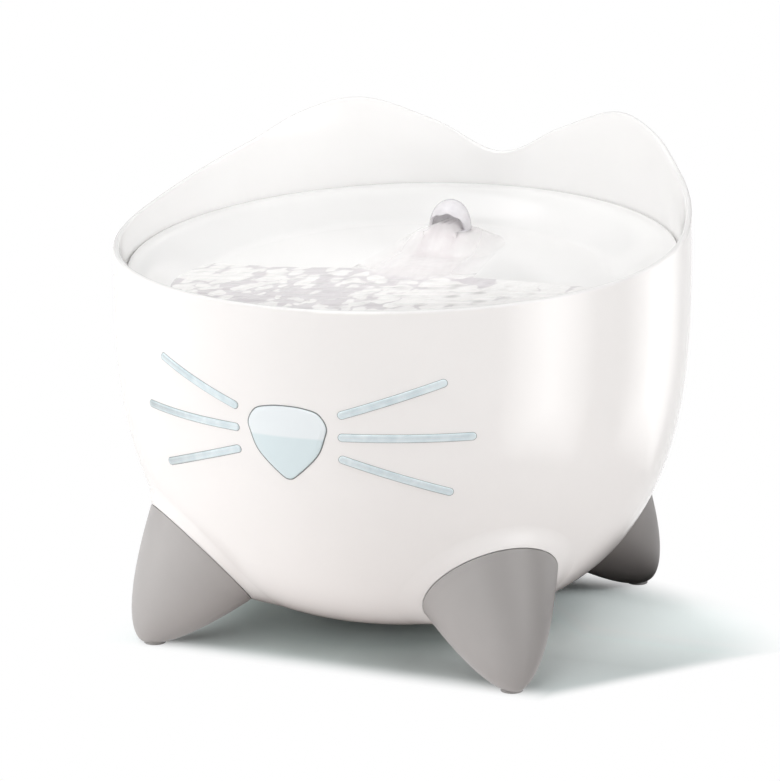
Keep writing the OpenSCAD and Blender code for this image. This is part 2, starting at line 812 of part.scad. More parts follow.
module pump_housing() {
    plinth_w = 2 * (cup_x + plinth_edge);
    plinth_len = cup_pitch + 2 * cup_inset;
    color(charcoal) difference() {
        union() {
            pump_axis(pump_y) cylinder(r = pump_r, h = cover_y - pump_y);
            translate([-plinth_w / 2, pump_y, plinth_low_z])
                cube([plinth_w, plinth_len, pump_z - plinth_low_z - motor_in_r / 2]);
            translate([0, spout_y, pump_z]) cylinder(r = tube_out_r + stub_wall, h = stub_top_z - pump_z);
            translate([0, gland_y, pump_z])
                cylinder(r = gland_r + pump_wall, h = gland_top_z - gland_proud - pump_z);
        }
        difference() {
            pump_axis(pump_y - cut) cylinder(r = motor_in_r, h = chamber_y - chamber_wall - pump_y + cut);
            pump_axis(motor_y) cylinder(r = well_r + well_wall, h = chamber_y - motor_y);
        }
        pump_axis(well_y) cylinder(r = well_r, h = chamber_y - well_y + cut);
        pump_axis(chamber_y) cylinder(r = motor_in_r, h = chamber_d + cut);
        translate([0, spout_y, pump_z]) cylinder(r = water_r, h = far);
        translate([0, spout_y, stub_top_z - socket_d]) cylinder(r = tube_out_r + snug_gap, h = far);
        translate([-pump_r, cover_y, pump_z - pump_r]) cube([2 * pump_r, far, 2 * pump_r + slide_gap]);
        translate([0, gland_y, pump_z]) cylinder(r = gland_r + snug_gap, h = far);
        for (x = [-cup_x, cup_x], y = cup_ys)
            translate([x, y, plinth_low_z - cut]) cylinder(r = stem_r + snug_gap, h = stem_h + cut);
    }
}

module motor_end_cap() {
    color(charcoal) difference() {
        union() {
            pump_axis(pump_y - cap_t) cylinder(r = pump_r, h = cap_t);
            pump_axis(pump_y) cylinder(r = motor_in_r - snug_gap, h = cap_t);
        }
        pump_axis(pump_y - cap_t - cut) cylinder(r = led_r + snug_gap, h = 2 * cap_t + 2 * cut);
    }
}

module led_board() {
    color("green") pump_axis(led_board_y) cylinder(r = board_r, h = board_t);
}

module led_lens() {
    lens_len = 2 * cap_t + led_proud;
    color(aqua) {
        pump_axis(led_board_y - lens_len) cylinder(r = led_r, h = lens_len);
        pump_axis(led_board_y - lens_len) intersection() {
            sphere(r = led_r);
            translate([0, 0, -led_r]) cube([far, far, 2 * led_r], center = true);
        }
    }
}

core_h = 3.6;
core_w = 10;
core_gap = 0.2;
yoke_t = 3.5;
coil_wall = 2.2;
coil_gap = 0.5;
// The coil's front face clears the light's board
yoke_y = led_board_y + board_t + coil_wall + 1.1;
// U-shaped core, its yoke in front and its legs above and below the magnet's well
module stator_core() {
    leg_z = well_r + well_wall + core_gap;
    color("silver") difference() {
        translate([-core_w / 2, yoke_y, pump_z - leg_z - core_h])
            cube([core_w, chamber_y - chamber_wall - yoke_y, 2 * (leg_z + core_h)]);
        translate([-core_w, yoke_y + yoke_t, pump_z - leg_z]) cube([2 * core_w, far, 2 * leg_z]);
    }
}

module motor_coil() {
    coil_h = 2 * (well_r + well_wall - coil_gap);
    color("peru") difference() {
        translate([-core_w / 2 - coil_wall, yoke_y - coil_wall, pump_z - coil_h / 2])
            cube([core_w + 2 * coil_wall, yoke_t + 2 * coil_wall, coil_h]);
        translate([-core_w / 2 - snug_gap, yoke_y - snug_gap, pump_z - coil_h])
            cube([core_w + 2 * snug_gap, yoke_t + 2 * snug_gap, 2 * coil_h]);
    }
}

module cable_gland() {
    low_z = pump_z + motor_in_r - cut;
    color(charcoal) translate([0, gland_y, low_z]) difference() {
        cylinder(r = gland_r, h = gland_top_z - low_z);
        translate([0, 0, -cut]) cylinder(r = cord_r, h = far);
    }
}

module suction_cups() {
    color("gainsboro") for (x = [-cup_x, cup_x], y = cup_ys) translate([x, y, floor_z]) {
        cylinder(r1 = cup_r, r2 = 1.5 * stem_r, h = cup_h);
        cylinder(r = stem_r, h = cup_h + stem_h - stem_end_gap);
    }
}

module riser_tube() {
    low_z = stub_top_z - socket_d;
    color("gainsboro") translate([0, spout_y, low_z]) difference() {
        cylinder(r = tube_out_r, h = tube_top_z - low_z);
        translate([0, 0, -cut]) cylinder(r = water_r, h = far);
        translate([0, 0, tube_top_z - low_z - seal_h - seal_drop]) difference() {
            cylinder(r = tube_out_r + cut, h = seal_h);
            translate([0, 0, -cut]) cylinder(r = tube_out_r - tube_wall / 2, h = seal_h + 2 * cut);
        }
    }
}

module tube_seal() {
    color(charcoal) translate([0, spout_y, tube_top_z - seal_h - seal_drop + snug_gap]) difference() {
        cylinder(r = tube_out_r, h = seal_h - 2 * snug_gap);
        translate([0, 0, -cut]) cylinder(r = tube_out_r - tube_wall / 2 + snug_gap, h = far);
    }
}

intake_slots = 8;
intake_w = 2.4;
intake_in_r = bush_r + boss_wall + 0.4;
intake_out_r = foam_r - 1.2;
module pump_cover() {
    spigot_r = motor_in_r - slide_gap;
    color(charcoal) difference() {
        union() {
            pump_axis(cover_y) cylinder(r = pump_r, h = cover_t + cover_rim);
            pump_axis(cover_y - spigot_len) {
                cylinder(r = spigot_r, h = spigot_len + cut);
                cylinder(r = bush_r + boss_wall, h = spigot_len + cut);
            }
        }
        pump_axis(cover_y - spigot_len - cut) difference() {
            cylinder(r = spigot_r - spigot_wall, h = spigot_len + cut);
            cylinder(r = bush_r + boss_wall, h = far);
        }
        pump_axis(cover_y + cover_t) cylinder(r = foam_r + snug_gap, h = far);
        pump_axis(cover_y - spigot_len - cut) cylinder(r = bush_r + snug_gap, h = bush_t + cut);
        for (i = [0:intake_slots - 1]) pump_axis(cover_y) rotate([0, 0, 360 * i / intake_slots])
            translate([intake_in_r, -intake_w / 2, -cut]) cube([intake_out_r - intake_in_r, intake_w, far]);
    }
}

module intake_foam() {
    color("steelblue") pump_axis(cover_y + cover_t) cylinder(r = foam_r, h = cover_rim);
}

module front_bush() {
    color("black") pump_axis(cover_y - spigot_len) difference() {
        cylinder(r = bush_r, h = bush_t);
        translate([0, 0, -cut]) cylinder(r = shaft_r + shaft_gap, h = far);
    }
}

// The shaft stands on the blind end of the rear bush and passes into the front one
bush_end_t = 0.3;
shaft_out = 0.2;
module rotor_shaft() {
    shaft_y = well_y + bush_end_t;
    color("silver") pump_axis(shaft_y) cylinder(r = shaft_r, h = cover_y + shaft_out - shaft_y);
}

module rear_bush() {
    color("black") pump_axis(well_y) difference() {
        cylinder(r = well_r - slide_gap, h = bush_t);
        translate([0, 0, bush_end_t]) cylinder(r = shaft_r + snug_gap, h = far);
    }
}

disc_t = 1.2;
hub_r = 4.2;
blade_t = 1.2;
blade_in_r = 2.5;
blade_out_r = impeller_r - 0.5;
module impeller() {
    color("white") difference() {
        union() {
            pump_axis(hub_y) cylinder(r = hub_r, h = impeller_end_y - hub_y);
            pump_axis(hub_y) cylinder(r = impeller_r, h = disc_t);
            for (i = [0:blade_count - 1])
                pump_axis(hub_y + disc_t / 2) rotate([0, 0, 360 * (i + 0.5) / blade_count])
                    translate([blade_in_r, -blade_t / 2, 0])
                        cube([blade_out_r - blade_in_r, blade_t, impeller_end_y - hub_y - disc_t]);
        }
        pump_axis(hub_y - cut) cylinder(r = shaft_r + shaft_gap, h = far);
    }
}

module rotor_magnet() {
    color("black") difference() {
        pump_axis(magnet_y) cylinder(r = magnet_r, h = magnet_len);
        pump_axis(magnet_y - cut) cylinder(r = shaft_r + shaft_gap, h = far);
    }
}

reservoir_bowl();
foot(-foot_front_angle);  // foot_front_left
foot(foot_front_angle);  // foot_front_right
foot(-foot_rear_angle);  // foot_rear_left
foot(foot_rear_angle);  // foot_rear_right
foot_screws();
foot_pads();
nose_window();
nose_seal();
whisker(whisker_top, -1);  // whisker_left_top
whisker(whisker_middle, -1);  // whisker_left_middle
whisker(whisker_bottom, -1);  // whisker_left_bottom
whisker(whisker_top, 1);  // whisker_right_top
whisker(whisker_middle, 1);  // whisker_right_middle
whisker(whisker_bottom, 1);  // whisker_right_bottom
cable_grommet();
drinking_dish();
spout_hood();
filter_tray();
filter_frame();
filter_foam();
filter_carbon();
filter_resin();
pump_housing();
motor_end_cap();
stator_core();
motor_coil();
led_board();
led_lens();
cable_gland();
suction_cups();
riser_tube();
tube_seal();
pump_cover();
intake_foam();
front_bush();
rotor_shaft();
rear_bush();
impeller();
rotor_magnet();
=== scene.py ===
"""Looks of the pet water fountain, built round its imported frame.

The sizes of pieces are in millimetres until a mesh is made. The camera, the lamps and all that a material
measures are in metres.
"""

import math

import bmesh
import bpy
import numpy as np
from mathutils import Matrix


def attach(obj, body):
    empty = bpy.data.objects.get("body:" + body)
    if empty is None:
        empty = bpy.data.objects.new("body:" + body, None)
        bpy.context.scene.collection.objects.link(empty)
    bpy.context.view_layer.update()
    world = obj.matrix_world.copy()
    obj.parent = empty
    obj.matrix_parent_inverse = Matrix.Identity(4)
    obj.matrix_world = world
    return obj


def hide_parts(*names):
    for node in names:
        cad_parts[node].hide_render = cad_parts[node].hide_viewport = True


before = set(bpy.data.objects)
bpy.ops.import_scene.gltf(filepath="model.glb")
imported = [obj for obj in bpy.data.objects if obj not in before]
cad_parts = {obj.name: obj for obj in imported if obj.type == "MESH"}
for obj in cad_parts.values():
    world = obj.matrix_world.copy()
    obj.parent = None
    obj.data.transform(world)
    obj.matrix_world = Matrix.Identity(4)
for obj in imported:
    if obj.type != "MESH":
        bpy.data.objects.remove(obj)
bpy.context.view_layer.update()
MM = 0.001

# ---- Camera ----
CAMERA_AT = (0.47025, -1.16069, 0.40661)
CAMERA_YAW = 22.30
CAMERA_PITCH = 13.765
CAMERA_LENS = 136.86


def make_camera():
    data = bpy.data.cameras.new("camera")
    data.lens = CAMERA_LENS
    camera = bpy.data.objects.new("camera", data)
    camera.location = CAMERA_AT
    camera.rotation_euler = (math.radians(90 - CAMERA_PITCH), 0, math.radians(CAMERA_YAW))
    bpy.context.scene.collection.objects.link(camera)
    bpy.context.scene.camera = camera


make_camera()
bpy.context.scene.view_settings.view_transform = "Standard"

# ---- Sizes shared with the part, in millimetres and degrees ----
BOWL_R = 123.95
BELLY_Z = 149.2
BASE_Z = 6.1
CURVE_P = 2.56
CURVE_Q = 2.95
WALL = 3.0
FLOOR_Z = 12.5
EAR_WALL = 2.5
EAR_LEAN = 3.0
RECESS_H = 3.0
RECESS_R = 30.0
NECK_Z = 132.1
NECK_H = 3.0
RIM_IN_R = BOWL_R - EAR_LEAN - EAR_WALL
RIM_T = 2.6
RIM_FRONT_Z = 161.2
RIM_SIDE_Z = 173.0
EAR_PEAK_Z = 211.2
EAR_DIP_Z = 186.8
EAR_ANGLE = 149.0
SEAM_Z = 160.5
DISH_TILT = math.radians(5.43)
DISH_GAP = 0.6
DISH_T = 2.3
DISH_DEPTH = 11.5
DISH_FLOOR_R = 88.0
DISH_BAND = 4.4
DISH_R = RIM_IN_R - DISH_GAP
LEDGE_W = 3.5
LEDGE_T = 4.0
DRAIN_W = 3.0
DRAIN_LEN = 22.0
DRAIN_COUNT = 7
CASSETTE_Y = -8.0
SPOUT_Y = 57.0
SPOUT_Z = 160.7
MOUND_TOP_R = 10.5
MOUND_R = 26.0
HOOD_R = 9.5
HOOD_H = 14.0
HOOD_T = 1.2
MOUTH_H = 7.5
MOUTH_W = 15.0
LIP_LEN = 3.5
LIP_W = 9.0
WATER_R = 5.0
FOOT_REACH = 121.0
FOOT_FRONT_ANGLE = 45.0
FOOT_REAR_ANGLE = 133.0
FOOT_LEAN = math.radians(39.5)
FOOT_LEN = 45.5
FOOT_R = 29.2
FOOT_TAPER = 0.575
SPLIT_LEAN = math.radians(47.75)
PAD_PROUD = 0.6
NOSE_HALF_W = 17.0
NOSE_LOW_Z = 90.4
NOSE_TOP_Z = 121.6
FLANGE_W = 3.5
FLANGE_T = 2.0
SEAL_T = 1.0
WHISKER_W = 3.6
WHISKER_IN = 10.0
WHISKER_MID_Z = 110.0
WHISKER_FAN = 9.3
WHISKER_RISE = 13.5
GROMMET_Z = 120.0
GROMMET_R = 6.0
GROMMET_RIM = 2.2
GROMMET_LIP = 1.0
GROMMET_SUNK = 0.4

# ---- Sizes of the water ----
TANK_WATER_Z = 108.7
POOL_Z = 150.0
FILM = 0.8
STREAM_W = 24.0
STREAM_SPREAD = 0.093


# ---- Curves ----
def smooth(t):
    """Smooth step from 0 to 1."""
    t = np.clip(t, 0.0, 1.0)
    return t * t * (3 - 2 * t)


def spline(points, per_span, closed=False):
    """Catmull-Rom line through points. An open line's first and last points only set its direction."""
    p = np.asarray(points, float)
    count = len(p)
    spans = range(count) if closed else range(1, count - 2)
    out = []
    for i in spans:
        a, b, c, d = (p[(i + k) % count] for k in (-1, 0, 1, 2))
        for t in np.arange(per_span) / per_span:
            out.append(0.5 * (2 * b + (c - a) * t + (2 * a - 5 * b + 4 * c - d) * t**2
                              + (3 * b - a - 3 * c + d) * t**3))
    if not closed:
        out.append(p[-2])
    return np.array(out)


def wall_radius(z, depth=0.0):
    """Radius of the bowl's outside at the height z, and of the surface that lies depth inside it."""
    z = np.asarray(z, float)
    drop = np.clip((BELLY_Z - z) / (BELLY_Z - BASE_Z - depth), 0, 1)
    below = (BOWL_R - depth) * np.cos(np.arcsin(drop ** (CURVE_P / 2))) ** (2 / CURVE_Q)
    lean = EAR_LEAN * (np.clip(z - BELLY_Z, 0, None) / (EAR_PEAK_Z - BELLY_Z)) ** 2
    return below - lean


def rim_height(theta):
    """Height of the rim at the angle theta from the nose."""
    rise = EAR_PEAK_Z - RIM_SIDE_Z
    front_turn = 50
    front_z = RIM_FRONT_Z + 3
    ear_back = EAR_ANGLE + 16
    ear_back_z = EAR_DIP_Z + 0.56 * (EAR_PEAK_Z - EAR_DIP_Z)
    line = spline([
        [-front_turn, front_z], [0, RIM_FRONT_Z], [front_turn, front_z], [90, RIM_SIDE_Z],
        [120, RIM_SIDE_Z + 0.48 * rise], [EAR_ANGLE - 14, RIM_SIDE_Z + 0.85 * rise],
        [EAR_ANGLE, EAR_PEAK_Z], [ear_back, ear_back_z], [180, EAR_DIP_Z],
        [360 - ear_back, ear_back_z]], 40)
    turn = np.degrees(np.asarray(theta)) % 360
    return np.interp(np.minimum(turn, 360 - turn), line[:, 0], line[:, 1])


def dish_height(x, y):
    """Height of the dish's top face."""
    band_in_r = DISH_R - DISH_BAND
    r = np.hypot(x, y)
    fall = DISH_DEPTH * smooth((band_in_r - r) / (band_in_r - DISH_FLOOR_R))
    z = SEAM_Z + y * math.tan(DISH_TILT) - fall / math.cos(DISH_TILT)
    mound = smooth((MOUND_R - np.hypot(x, y - SPOUT_Y)) / (MOUND_R - MOUND_TOP_R))
    return z + mound * (SPOUT_Z - z)


# ---- Meshes ----
class Shell:
    """Vertices and faces of one mesh."""

    def __init__(self):
        self.points = []
        self.faces = []

    def grid(self, rows, wrap=True, loop=False, first=None, last=None):
        """Quads between rows of points. wrap closes each row, loop joins the last row to the first,
        and first and last are points that close the two ends."""
        start, n = len(self.points), len(rows[0])
        for row in rows:
            self.points.extend(np.asarray(row, float).tolist())
        for k in range(len(rows) if loop else len(rows) - 1):
            low, high = start + k * n, start + (k + 1) % len(rows) * n
            for i in range(n if wrap else n - 1):
                j = (i + 1) % n
                self.faces.append((low + i, low + j, high + j, high + i))
        for point, k in ((first, 0), (last, len(rows) - 1)):
            if point is not None:
                base, centre = start + k * n, len(self.points)
                self.points.append([float(c) for c in point])
                self.faces.extend((base + i, base + (i + 1) % n, centre) for i in range(n))

    def mesh(self, name):
        mesh = bpy.data.meshes.new(name)
        mesh.from_pydata((np.array(self.points) * MM).tolist(), [], self.faces)
        work = bmesh.new()
        work.from_mesh(mesh)
        bmesh.ops.remove_doubles(work, verts=work.verts, dist=0.002 * MM)
        bmesh.ops.dissolve_degenerate(work, edges=work.edges, dist=0.001 * MM)
        bmesh.ops.recalc_face_normals(work, faces=work.faces)
        work.to_mesh(mesh)
        work.free()
        return mesh


def make_piece(name, shell, material, body, stands_for=(), cutters=(), crease=35):
    """Makes an object of the shell less its cutters. Edges sharper than crease degrees stay sharp."""
    obj = bpy.data.objects.new(name, shell.mesh(name))
    bpy.context.scene.collection.objects.link(obj)
    for cutter in cutters:
        cut_out(obj, cutter)
    obj.data.polygons.foreach_set("use_smooth", [True] * len(obj.data.polygons))
    obj.data.set_sharp_from_angle(angle=math.radians(crease))
    obj.data.materials.clear()
    obj.data.materials.append(material)
    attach(obj, body)
    if stands_for:
        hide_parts(*stands_for)
    return obj


def cut_out(obj, shell):
    """Cuts the shell's solid out of the piece."""
    cutter = bpy.data.objects.new("cutter", shell.mesh("cutter"))
    bpy.context.scene.collection.objects.link(cutter)
    step = obj.modifiers.new("cut", "BOOLEAN")
    step.operation = "DIFFERENCE"
    step.solver = "EXACT"
    step.object = cutter
    graph = bpy.context.evaluated_depsgraph_get()
    result = bpy.data.meshes.new_from_object(obj.evaluated_get(graph))
    obj.modifiers.clear()
    obj.data = result
    bpy.data.objects.remove(cutter)


def ring(r, z, theta):
    """Points round the bowl's axis at the angles theta from the nose."""
    r, z = np.broadcast_to(r, theta.shape), np.broadcast_to(z, theta.shape)
    return np.stack([r * np.sin(theta), -r * np.cos(theta), z], 1)


def turns(count):
    """Even angles all the way round."""
    return np.arange(count) * 2 * math.pi / count


# ---- Materials ----
SMOOTHEST = 0.01


def add_node(material, kind, inputs=(), **settings):
    """Adds a shader node. A value in inputs is a number, a colour or the socket that feeds that input."""
    tree = material.node_tree
    item = tree.nodes.new("ShaderNode" + kind)
    for name, value in settings.items():
        setattr(item, name, value)
    for name, value in dict(inputs).items():
        if isinstance(value, bpy.types.NodeSocket):
            tree.links.new(value, item.inputs[name])
        else:
            item.inputs[name].default_value = value
    return item


def maths(material, operation, *values):
    """Result of a Math node. Each value is a number or a socket."""
    return add_node(material, "Math", enumerate(values), operation=operation).outputs[0]


def vectors(material, operation, *values):
    """Result of a Vector Math node that gives a vector."""
    return add_node(material, "VectorMath", enumerate(values), operation=operation).outputs["Vector"]


def mapped(material, value, start, end, low=0.0, high=1.0, **settings):
    """Value that runs from low to high while the given one runs from start to end."""
    inputs = {"Value": value, "From Min": start, "From Max": end, "To Min": low, "To Max": high}
    return add_node(material, "MapRange", inputs, **settings).outputs["Result"]


def mixed(material, factor, low, high):
    """Number that goes from low to high as the factor goes from 0 to 1."""
    return add_node(material, "Mix", {"Factor": factor, "A": low, "B": high}).outputs["Result"]


def mixed_colour(material, factor, low, high):
    """Colour that goes from low to high as the factor goes from 0 to 1. Either may be a socket."""
    mix = add_node(material, "Mix", {"Factor": factor, 6: low, 7: high}, data_type="RGBA")
    return mix.outputs[2]


def object_place(material):
    """Where a point of the piece lies, and the sockets of its three coordinates."""
    place = add_node(material, "TexCoord").outputs["Object"]
    return place, add_node(material, "SeparateXYZ", {0: place}).outputs


def between(material, factor, low, high):
    """Colour ramp that goes from low to high as the factor goes from 0 to 1."""
    ramp = add_node(material, "ValToRGB", {"Fac": factor})
    ramp.color_ramp.elements[0].color = (*low, 1)
    ramp.color_ramp.elements[1].color = (*high, 1)
    return ramp


def surface(name, colour, shade, rough, grain=60.0, spread=0.04, bump=0.0, bump_grain=900.0,
            pattern="TexNoise", sharp=0.25, **sockets):
    """Principled material: its colour runs between colour and shade, its roughness varies by spread, and a
    pattern of the scale bump_grain stands bump metres proud."""
    material = bpy.data.materials.new(name)
    material.use_nodes = True
    shader = material.node_tree.nodes["Principled BSDF"]
    place = add_node(material, "TexCoord").outputs["Object"]
    noise = add_node(material, "TexNoise", {"Vector": place, "Scale": grain, "Detail": 5.0}).outputs["Fac"]
    ramp = between(material, noise, shade, colour)
    ramp.color_ramp.elements[0].position = 0.5 - sharp
    ramp.color_ramp.elements[1].position = 0.5 + sharp
    rub = mapped(material, noise, 0.0, 1.0, max(rough - spread, SMOOTHEST), rough + spread)
    link = material.node_tree.links.new
    link(ramp.outputs["Color"], shader.inputs["Base Color"])
    link(rub, shader.inputs["Roughness"])
    if bump:
        relief = add_node(material, pattern, {"Vector": place, "Scale": bump_grain})
        raised = add_node(material, "Bump", {"Height": relief.outputs[0], "Distance": bump})
        link(raised.outputs["Normal"], shader.inputs["Normal"])
    for socket, value in sockets.items():
        shader.inputs[socket.replace("_", " ")].default_value = value
    return material


def painted_edge_shade(material, edge_shade_colour, start, end):
    """Painted shade: darkens the material's colour where its surface turns away from the eye, standing in for
    the dark edges of clear plastic.
    """
    shader = material.node_tree.nodes["Principled BSDF"]
    colour = shader.inputs["Base Color"].links[0].from_socket
    facing = add_node(material, "LayerWeight", {"Blend": 0.5}).outputs["Facing"]
    edge = mapped(material, facing, start, end)
    material.node_tree.links.new(mixed_colour(material, edge, colour, (*edge_shade_colour, 1)),
                                 shader.inputs["Base Color"])


def depth_tint(material, low_z, high_z, low_colour, high_colour):
    """Replaces the material's colour by one that changes between two heights."""
    _, axes = object_place(material)
    share = mapped(material, axes["Z"], low_z * MM, high_z * MM)
    ramp = between(material, share, low_colour, high_colour)
    shader = material.node_tree.nodes["Principled BSDF"]
    material.node_tree.links.new(ramp.outputs["Color"], shader.inputs["Base Color"])


# Painted reflections on the pool: how their patches are turned, stretched, bent, sized and edged
PATCH_TURN = math.radians(-18)
PATCH_STRETCH = (1.2, 0.7, 0)
PATCH_BEND = (0.012, 0.012, 0)
PATCH_SCALE_FRONT = 150.0
PATCH_SCALE_BACK = 95.0
PATCH_CENTRE_X = -0.03
PATCH_EDGE = (0.44, 0.54)


def pool_painted_reflections(material, place, axes):
    """Painted reflections: rounded pale patches on lilac, larger at the back of the pool and fewer towards
    its left and right.
    """
    stretched = add_node(material, "Mapping", {"Vector": place, "Rotation": (0, 0, PATCH_TURN),
                                               "Scale": PATCH_STRETCH}).outputs["Vector"]
    drift = add_node(material, "TexNoise", {"Vector": stretched, "Scale": 90.0}).outputs["Color"]
    moved = vectors(material, "ADD", stretched, vectors(material, "MULTIPLY", drift, PATCH_BEND))
    small, large = (add_node(material, "TexVoronoi", {"Vector": moved, "Scale": scale}).outputs["Distance"]
                    for scale in (PATCH_SCALE_FRONT, PATCH_SCALE_BACK))
    cells = mixed(material, mapped(material, axes["Y"], -0.05, 0.0), small, large)
    broad = add_node(material, "TexNoise", {"Vector": place, "Scale": 22.0}).outputs["Fac"]
    beside = maths(material, "ABSOLUTE", maths(material, "SUBTRACT", axes["X"], PATCH_CENTRE_X))
    lean = mapped(material, beside, 0.015, 0.075, -0.15, 0.5)
    lift = maths(material, "MULTIPLY_ADD", maths(material, "ADD", broad, lean), 0.45, -0.22)
    ramp = between(material, maths(material, "SUBTRACT", cells, lift), (1.0, 0.99, 0.975), (0.74, 0.71, 0.73))
    for element, position in zip(ramp.color_ramp.elements, PATCH_EDGE):
        element.position = position
    return ramp.outputs["Color"]


def water_surface():
    """Clear water: painted reflections in patches where it stands in the pool, paler and thinner towards its
    sides where it runs.
    """
    material = surface("water", (0.97, 0.94, 0.945), (0.92, 0.875, 0.885), 0.05, grain=130, spread=0.02,
                       sharp=0.12, bump=3e-4, bump_grain=160, IOR=1.33)
    shader = material.node_tree.nodes["Principled BSDF"]
    film = shader.inputs["Base Color"].links[0].from_socket
    place, axes = object_place(material)
    pool = pool_painted_reflections(material, place, axes)
    standing = mapped(material, axes["Z"], (POOL_Z + 0.7) * MM, (POOL_Z + 0.1) * MM)
    aside = maths(material, "ABSOLUTE", axes["X"])
    width_at_origin = (STREAM_W + STREAM_SPREAD * SPOUT_Y) * MM
    width = maths(material, "MULTIPLY_ADD", axes["Y"], -STREAM_SPREAD, width_at_origin)
    film_cover = mapped(material, maths(material, "DIVIDE", aside, width), 0.35, 0.95, 0.55, 0.05)
    link = material.node_tree.links.new
    link(mixed_colour(material, standing, film, pool), shader.inputs["Base Color"])
    link(mixed(material, standing, film_cover, 0.85), shader.inputs["Alpha"])
    return material


WHITE = surface("white_gloss", (0.915, 0.908, 0.9), (0.89, 0.882, 0.874), 0.09, grain=18, spread=0.03,
                bump=1.5e-6, bump_grain=420, Specular_IOR_Level=0.6)
# The dish's white is darker than the bowl's: painted shade
DISH_SHADED_WHITE = surface("dish_gloss", (0.85, 0.845, 0.838), (0.825, 0.82, 0.813), 0.14, grain=22, spread=0.04,
                     bump=2e-6, bump_grain=500)
FOOT_GREY = surface("foot_satin", (0.45, 0.438, 0.432), (0.42, 0.408, 0.403), 0.42, grain=35, spread=0.05,
                    bump=8e-6, bump_grain=1600)
AQUA = surface("aqua_clear", (0.785, 0.88, 0.915), (0.645, 0.755, 0.8), 0.05, grain=170, spread=0.02,
               sharp=0.15, IOR=1.49)
LENS = surface("lens_clear", (0.85, 0.93, 0.95), (0.75, 0.86, 0.9), 0.05, grain=60, spread=0.02, IOR=1.49)
HOOD = surface("lilac_clear", (0.94, 0.92, 0.935), (0.84, 0.82, 0.845), 0.08, grain=190, spread=0.03,
               sharp=0.12, Alpha=0.66, IOR=1.45)
# Dark rings in the gaps round the nose and the whiskers: painted shade
GAP_SHADE = surface("gap_shadow", (0.2, 0.215, 0.22), (0.16, 0.175, 0.18), 0.6)


# ---- Bowl ----
BOWL_COLUMNS = 480


def nose_outline():
    """Outline of the nose window from the front, (x, z), anticlockwise from its lowest point."""
    height = NOSE_TOP_Z - NOSE_LOW_Z
    side = [[0.25, 0.075], [0.75, 0.35], [0.95, 0.60], [1, 0.76], [0.80, 0.925], [0.42, 0.985]]
    shares = [[0, 0], *side, [0, 1], *[[-x, z] for x, z in reversed(side)]]
    return spline([[x * NOSE_HALF_W, NOSE_LOW_Z + z * height] for x, z in shares], 8, closed=True)


def outset(line, d):
    """Anticlockwise closed outline moved outwards by d."""
    along = np.roll(line, -1, 0) - np.roll(line, 1, 0)
    along /= np.linalg.norm(along, axis=1)[:, None]
    return line + d * np.stack([along[:, 1], -along[:, 0]], 1)


def on_wall(line, proud):
    """Points of a front outline (x, z) on the bowl's wall, raised by proud."""
    r = wall_radius(line[:, 1], max(-proud, 0)) + max(proud, 0)
    return np.stack([line[:, 0], -np.sqrt(r**2 - line[:, 0]**2), line[:, 1]], 1)


def lower_wall(a):
    """Radius and height of the wall under the belly, where a runs from 0 at the belly to 90 degrees."""
    return BOWL_R * math.cos(a) ** (2 / CURVE_Q), BELLY_Z - (BELLY_Z - BASE_Z) * math.sin(a) ** (2 / CURVE_P)


def bowl_rows():
    """Rows of the bowl's skin: the hollow under it, the outside, rim and ledge, and the tank to its floor."""
    theta = turns(BOWL_COLUMNS)
    rows = []

    def add(r, z):
        rows.append(ring(r, z, theta))

    edge = 0.8
    hollow_z = BASE_Z + RECESS_H
    add(RECESS_R / 2, hollow_z)
    add(RECESS_R - edge, hollow_z)
    add(RECESS_R, hollow_z - edge)
    lowest = math.acos(((RECESS_R + edge) / BOWL_R) ** (CURVE_Q / 2))
    add(RECESS_R, lower_wall(lowest)[1] + edge)
    side_steps = 72
    for k in range(side_steps + 1):
        add(*lower_wall(lowest * (1 - k / side_steps) ** 1.15))
    rim = rim_height(theta)
    half = np.minimum(wall_radius(rim) - RIM_IN_R, RIM_T) / 2
    shoulder = rim - half
    upper_steps = 28
    for k in range(1, upper_steps + 1):
        z = BELLY_Z + (shoulder - BELLY_Z) * k / upper_steps
        add(wall_radius(z), z)
    middle = wall_radius(shoulder) - half
    round_steps = 12
    for k in range(1, round_steps):
        a = math.pi * k / round_steps
        add(middle + half * math.cos(a), shoulder + half * math.sin(a))
    slope = -np.cos(theta) * math.tan(DISH_TILT)
    ledge_z = SEAM_Z - DISH_T / math.cos(DISH_TILT)
    inner_steps = 12
    for k in range(inner_steps + 1):
        share = k / inner_steps
        add(RIM_IN_R + (middle - half - RIM_IN_R) * (1 - share),
            shoulder + (ledge_z + RIM_IN_R * slope - shoulder) * share)
    ledge_r = RIM_IN_R - LEDGE_W
    ledge_edge = 0.5
    for r, z in ((ledge_r + ledge_edge, 0), (ledge_r, -ledge_edge), (ledge_r, ledge_edge - LEDGE_T),
                 (ledge_r + ledge_edge, -LEDGE_T), (RIM_IN_R, -LEDGE_T)):
        add(r, ledge_z + z + r * slope)
    add(RIM_IN_R, NECK_Z + NECK_H)
    tank_steps = 48
    for k in range(tank_steps + 1):
        z = FLOOR_Z + (NECK_Z - FLOOR_Z) * (1 - k / tank_steps) ** 2
        add(wall_radius(z, WALL), z)
    floor_r = float(wall_radius(FLOOR_Z, WALL))
    add(0.6 * floor_r, FLOOR_Z)
    add(0.2 * floor_r, FLOOR_Z)
    return rows


